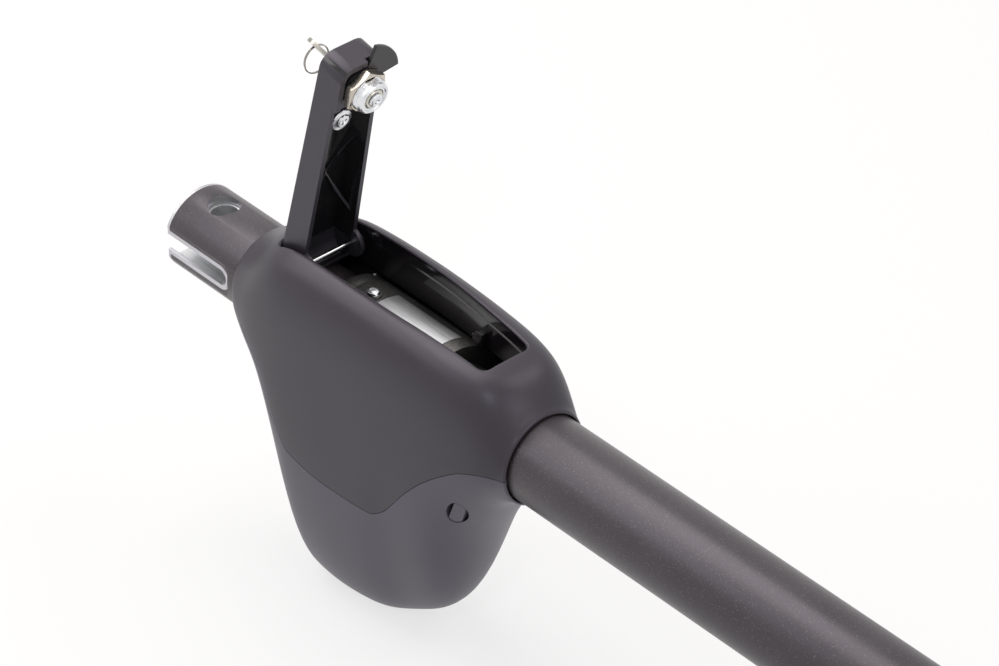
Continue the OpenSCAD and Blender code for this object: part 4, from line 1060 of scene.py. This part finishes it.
END_SCREW_PROFILE = [(0, -3.9), (1.7, -3.9), (2.0, -3.6), (2.0, 0.1), (3.7, 0.1), (4.0, 0.4),
                     (3.95, 1.0), (3.5, 1.6), (2.6, 1.92), (0, 2.0)]
pan_screw("lock_end_screw", "lock_end_screw_crossed", "plug", END_SCREW_PROFILE, 48,
          facing_in(LOCK_ALONG, BARREL_END), (4.2, 0.95, 1.2), 30.0)

# Latch tongue: blackened sheet steel, punched, that swings under the shell's rim as the lid shuts.
# Its ring turns round the barrel behind the nut.

latch_black = grained("latch_black", (0.014, 0.013, 0.0145), (0.026, 0.0245, 0.0275), 800.0,
                      (0.32, 0.44), 0.15)
refined("latch_tongue", "latch_tongue_punched", latch_black, 0.35, "tongue",
        flat_over=60.0)

# Key: stamped from steel sheet and plated, with a rounded bow, a hole for the ring and cuts along
# one edge of the blade.

key_metal = tooled("key_plate", (0.28, 0.267, 0.248), (0.42, 0.4, 0.37), (60.0, 900.0, 900.0),
                   (0.16, 0.3), 0.1)
BOW_HALF, BOW_START, BOW_MIDDLE, KEY_HOLE, KEY_HOLE_R = 8.0, 18.2, 30.33, 33.33, 2.3
KEY_CUTS, FIRST_CUT, CUT_PITCH = (1.2, 2.1, 0.8, 1.7, 1.1), 14.0, 3.2
shoulder = [(KEY_HALF, BOW_START), (BOW_HALF - 1.5, BOW_START), (BOW_HALF - 0.4, BOW_START + 0.5),
            (BOW_HALF, BOW_START + 1.6)]
bow_turns = [math.radians(a) for a in range(0, 181, 10)]
outline = [(KEY_HALF, KEY_TIP + 2.0)] + shoulder
outline += [(BOW_HALF * math.cos(a), BOW_MIDDLE + BOW_HALF * math.sin(a)) for a in bow_turns]
outline += [(-x, z) for x, z in reversed(shoulder)] + [(-KEY_HALF, FIRST_CUT + 1.0)]
for tooth, cut in enumerate(KEY_CUTS):
    top = FIRST_CUT - CUT_PITCH * tooth
    outline += [(-KEY_HALF, top), (-KEY_HALF + cut, top - 1.1), (-KEY_HALF + cut, top - 1.7),
                (-KEY_HALF, top - 2.6)]
outline += [(-KEY_HALF + 1.6, KEY_TIP), (KEY_HALF - 1.6, KEY_TIP)]
bm = bmesh.new()
near, far = ([bm.verts.new(key_frame @ (Vector((x, y, z)) * MM)) for x, z in outline]
             for y in (-KEY_HALF_THICK, KEY_HALF_THICK))
bm.faces.new(near)
bm.faces.new(reversed(far))
ring_faces(bm, far, near)
key = made(bm, "key_stamped", key_metal, "plug", ("key",))
bm = bmesh.new()
lathe(bm, [(0, -4), (KEY_HOLE_R, -4), (KEY_HOLE_R, 4), (0, 4)], 48,
      key_frame @ moved(0, 0, KEY_HOLE) @ turned(90, "X"))
cut_away(key, bm)

# Key ring: spring wire wound in two turns, plated, through the hole in the key's bow.
# It hangs free.

RING_R, RING_WIRE, RING_TURNS, RING_START = 8.0, 0.68, 2, math.radians(200)
CROSSING, TURN_APART = 0.12, 1.04
RING_STEPS, WIRE_SIDES = 144, 10
ring_middle = lock_frame @ (Vector((0, 0, KEY_HOLE)) * MM) - Vector((0, 0, RING_R * MM))
sideways = Vector((1, 0, 0))
wire_turns = [2 * math.pi * i / WIRE_SIDES for i in range(WIRE_SIDES)]
bm = bmesh.new()
wire = []
for k in range(RING_STEPS * RING_TURNS + 1):
    angle = RING_START + 2 * math.pi * k / RING_STEPS
    rise = min(max((k / RING_STEPS - RING_TURNS / 2) / CROSSING + 0.5, 0.0), 1.0)
    beside = (rise - 0.5) * TURN_APART * RING_WIRE
    outwards = Vector((0, math.cos(angle), math.sin(angle)))
    middle = ring_middle + (outwards * RING_R + sideways * beside) * MM
    around = [outwards * math.cos(t) + sideways * math.sin(t) for t in wire_turns]
    wire.append([bm.verts.new(middle + spoke * RING_WIRE / 2 * MM) for spoke in around])
for a, b in zip(wire, wire[1:]):
    ring_faces(bm, a, b)
bm.faces.new(wire[0])
bm.faces.new(reversed(wire[-1]))
made(bm, "key_ring_split", key_metal, "ring", ("key_ring",))

# Floor and light: the arm stands on its bulge on a plain pale floor, in a white tent. The tent and
# the floor look white to the camera and in reflections, but send little light to the arm, which is
# lit by five soft lamps.

FLOOR_HALF, FLOOR_GAP, WHITE = 6.0, 0.5, (1.0, 1.0, 1.0, 1.0)
FLOOR_LIT, FLOOR_SEEN = (0.64, 0.64, 0.64), (0.26, 0.26, 0.26)
SEEN_GLOW, TENT_LIGHT = 0.7, 0.3


def seen_white(tree):
    """1 for what the camera sees itself, in gloss or through glass, and 0 for stray light."""
    rays = tree.nodes.new("ShaderNodeLightPath").outputs
    seen = add_math(tree, "MAXIMUM", rays["Is Camera Ray"], rays["Is Glossy Ray"])
    return add_math(tree, "MAXIMUM", seen, rays["Is Transmission Ray"])


bm = bmesh.new()
bmesh.ops.create_grid(bm, x_segments=1, y_segments=1, size=FLOOR_HALF)
mesh = bpy.data.meshes.new("floor")
bm.to_mesh(mesh)
bm.free()
floor = bpy.data.objects.new("floor", mesh)
floor.location = (0.0, 0.0, -(BULGE + FLOOR_GAP) * MM)
bpy.context.scene.collection.objects.link(floor)
floor_white, tree, shader = new_material("floor_white", Roughness=0.9, Emission_Color=WHITE)
seen = seen_white(tree)
tree.links.new(add_mix(tree, seen, FLOOR_LIT, FLOOR_SEEN), shader.inputs["Base Color"])
tree.links.new(add_math(tree, "MULTIPLY", seen, SEEN_GLOW), shader.inputs["Emission Strength"])
mesh.materials.append(floor_white)

world = bpy.data.worlds.new("studio")
bpy.context.scene.world = world
world.use_nodes = True
tree = world.node_tree
background = tree.nodes["Background"]
background.inputs["Color"].default_value = WHITE
glow = add_math(tree, "MULTIPLY", seen_white(tree), SEEN_GLOW)
tree.links.new(add_math(tree, "ADD", glow, TENT_LIGHT), background.inputs["Strength"])

HOUSING_MIDDLE, FRONT_SHOULDER = Vector((0.15, 0.0, 0.0)), Vector((0.25, 0.0, 0.04))


def add_light(name, energy, size, place, target, colour):
    lamp = bpy.data.lights.new(name, "AREA")
    lamp.energy = energy
    lamp.size = size
    lamp.color = colour
    obj = bpy.data.objects.new(name, lamp)
    obj.location = place
    obj.rotation_euler = (target - Vector(place)).to_track_quat("-Z", "Y").to_euler()
    bpy.context.scene.collection.objects.link(obj)


add_light("soft_back", 33.0, 1.6, (-0.9, -0.05, 1.9), HOUSING_MIDDLE, (1.0, 0.95, 0.92))
add_light("soft_far", 8.0, 1.0, (0.83, 1.14, 1.76), HOUSING_MIDDLE, (1.0, 0.93, 0.89))
add_light("soft_front", 4.0, 0.9, (1.7, 0.2, 0.7), FRONT_SHOULDER, (1.0, 0.97, 0.97))
add_light("soft_near", 3.0, 0.2, (0.95, -0.96, 1.26), FRONT_SHOULDER, (0.98, 0.98, 1.0))
add_light("soft_left", 8.0, 1.0, (-1.2, -1.15, 1.2), HOUSING_MIDDLE, (1.0, 0.97, 0.95))

# Camera: the photograph's own view, from ahead and above on the near side.
# Its lens is long, so that the arm shows little perspective.

camera = bpy.data.objects.new("camera", bpy.data.cameras.new("camera"))
camera.location = (1.6072, -1.2361, 1.4239)
camera.rotation_euler = (math.radians(53.70), 0.0, math.radians(48.22))
camera.data.lens = 163.4
camera.data.sensor_width = 36.0
bpy.context.scene.collection.objects.link(camera)
bpy.context.scene.camera = camera
bpy.context.scene.view_settings.view_transform = "Standard"
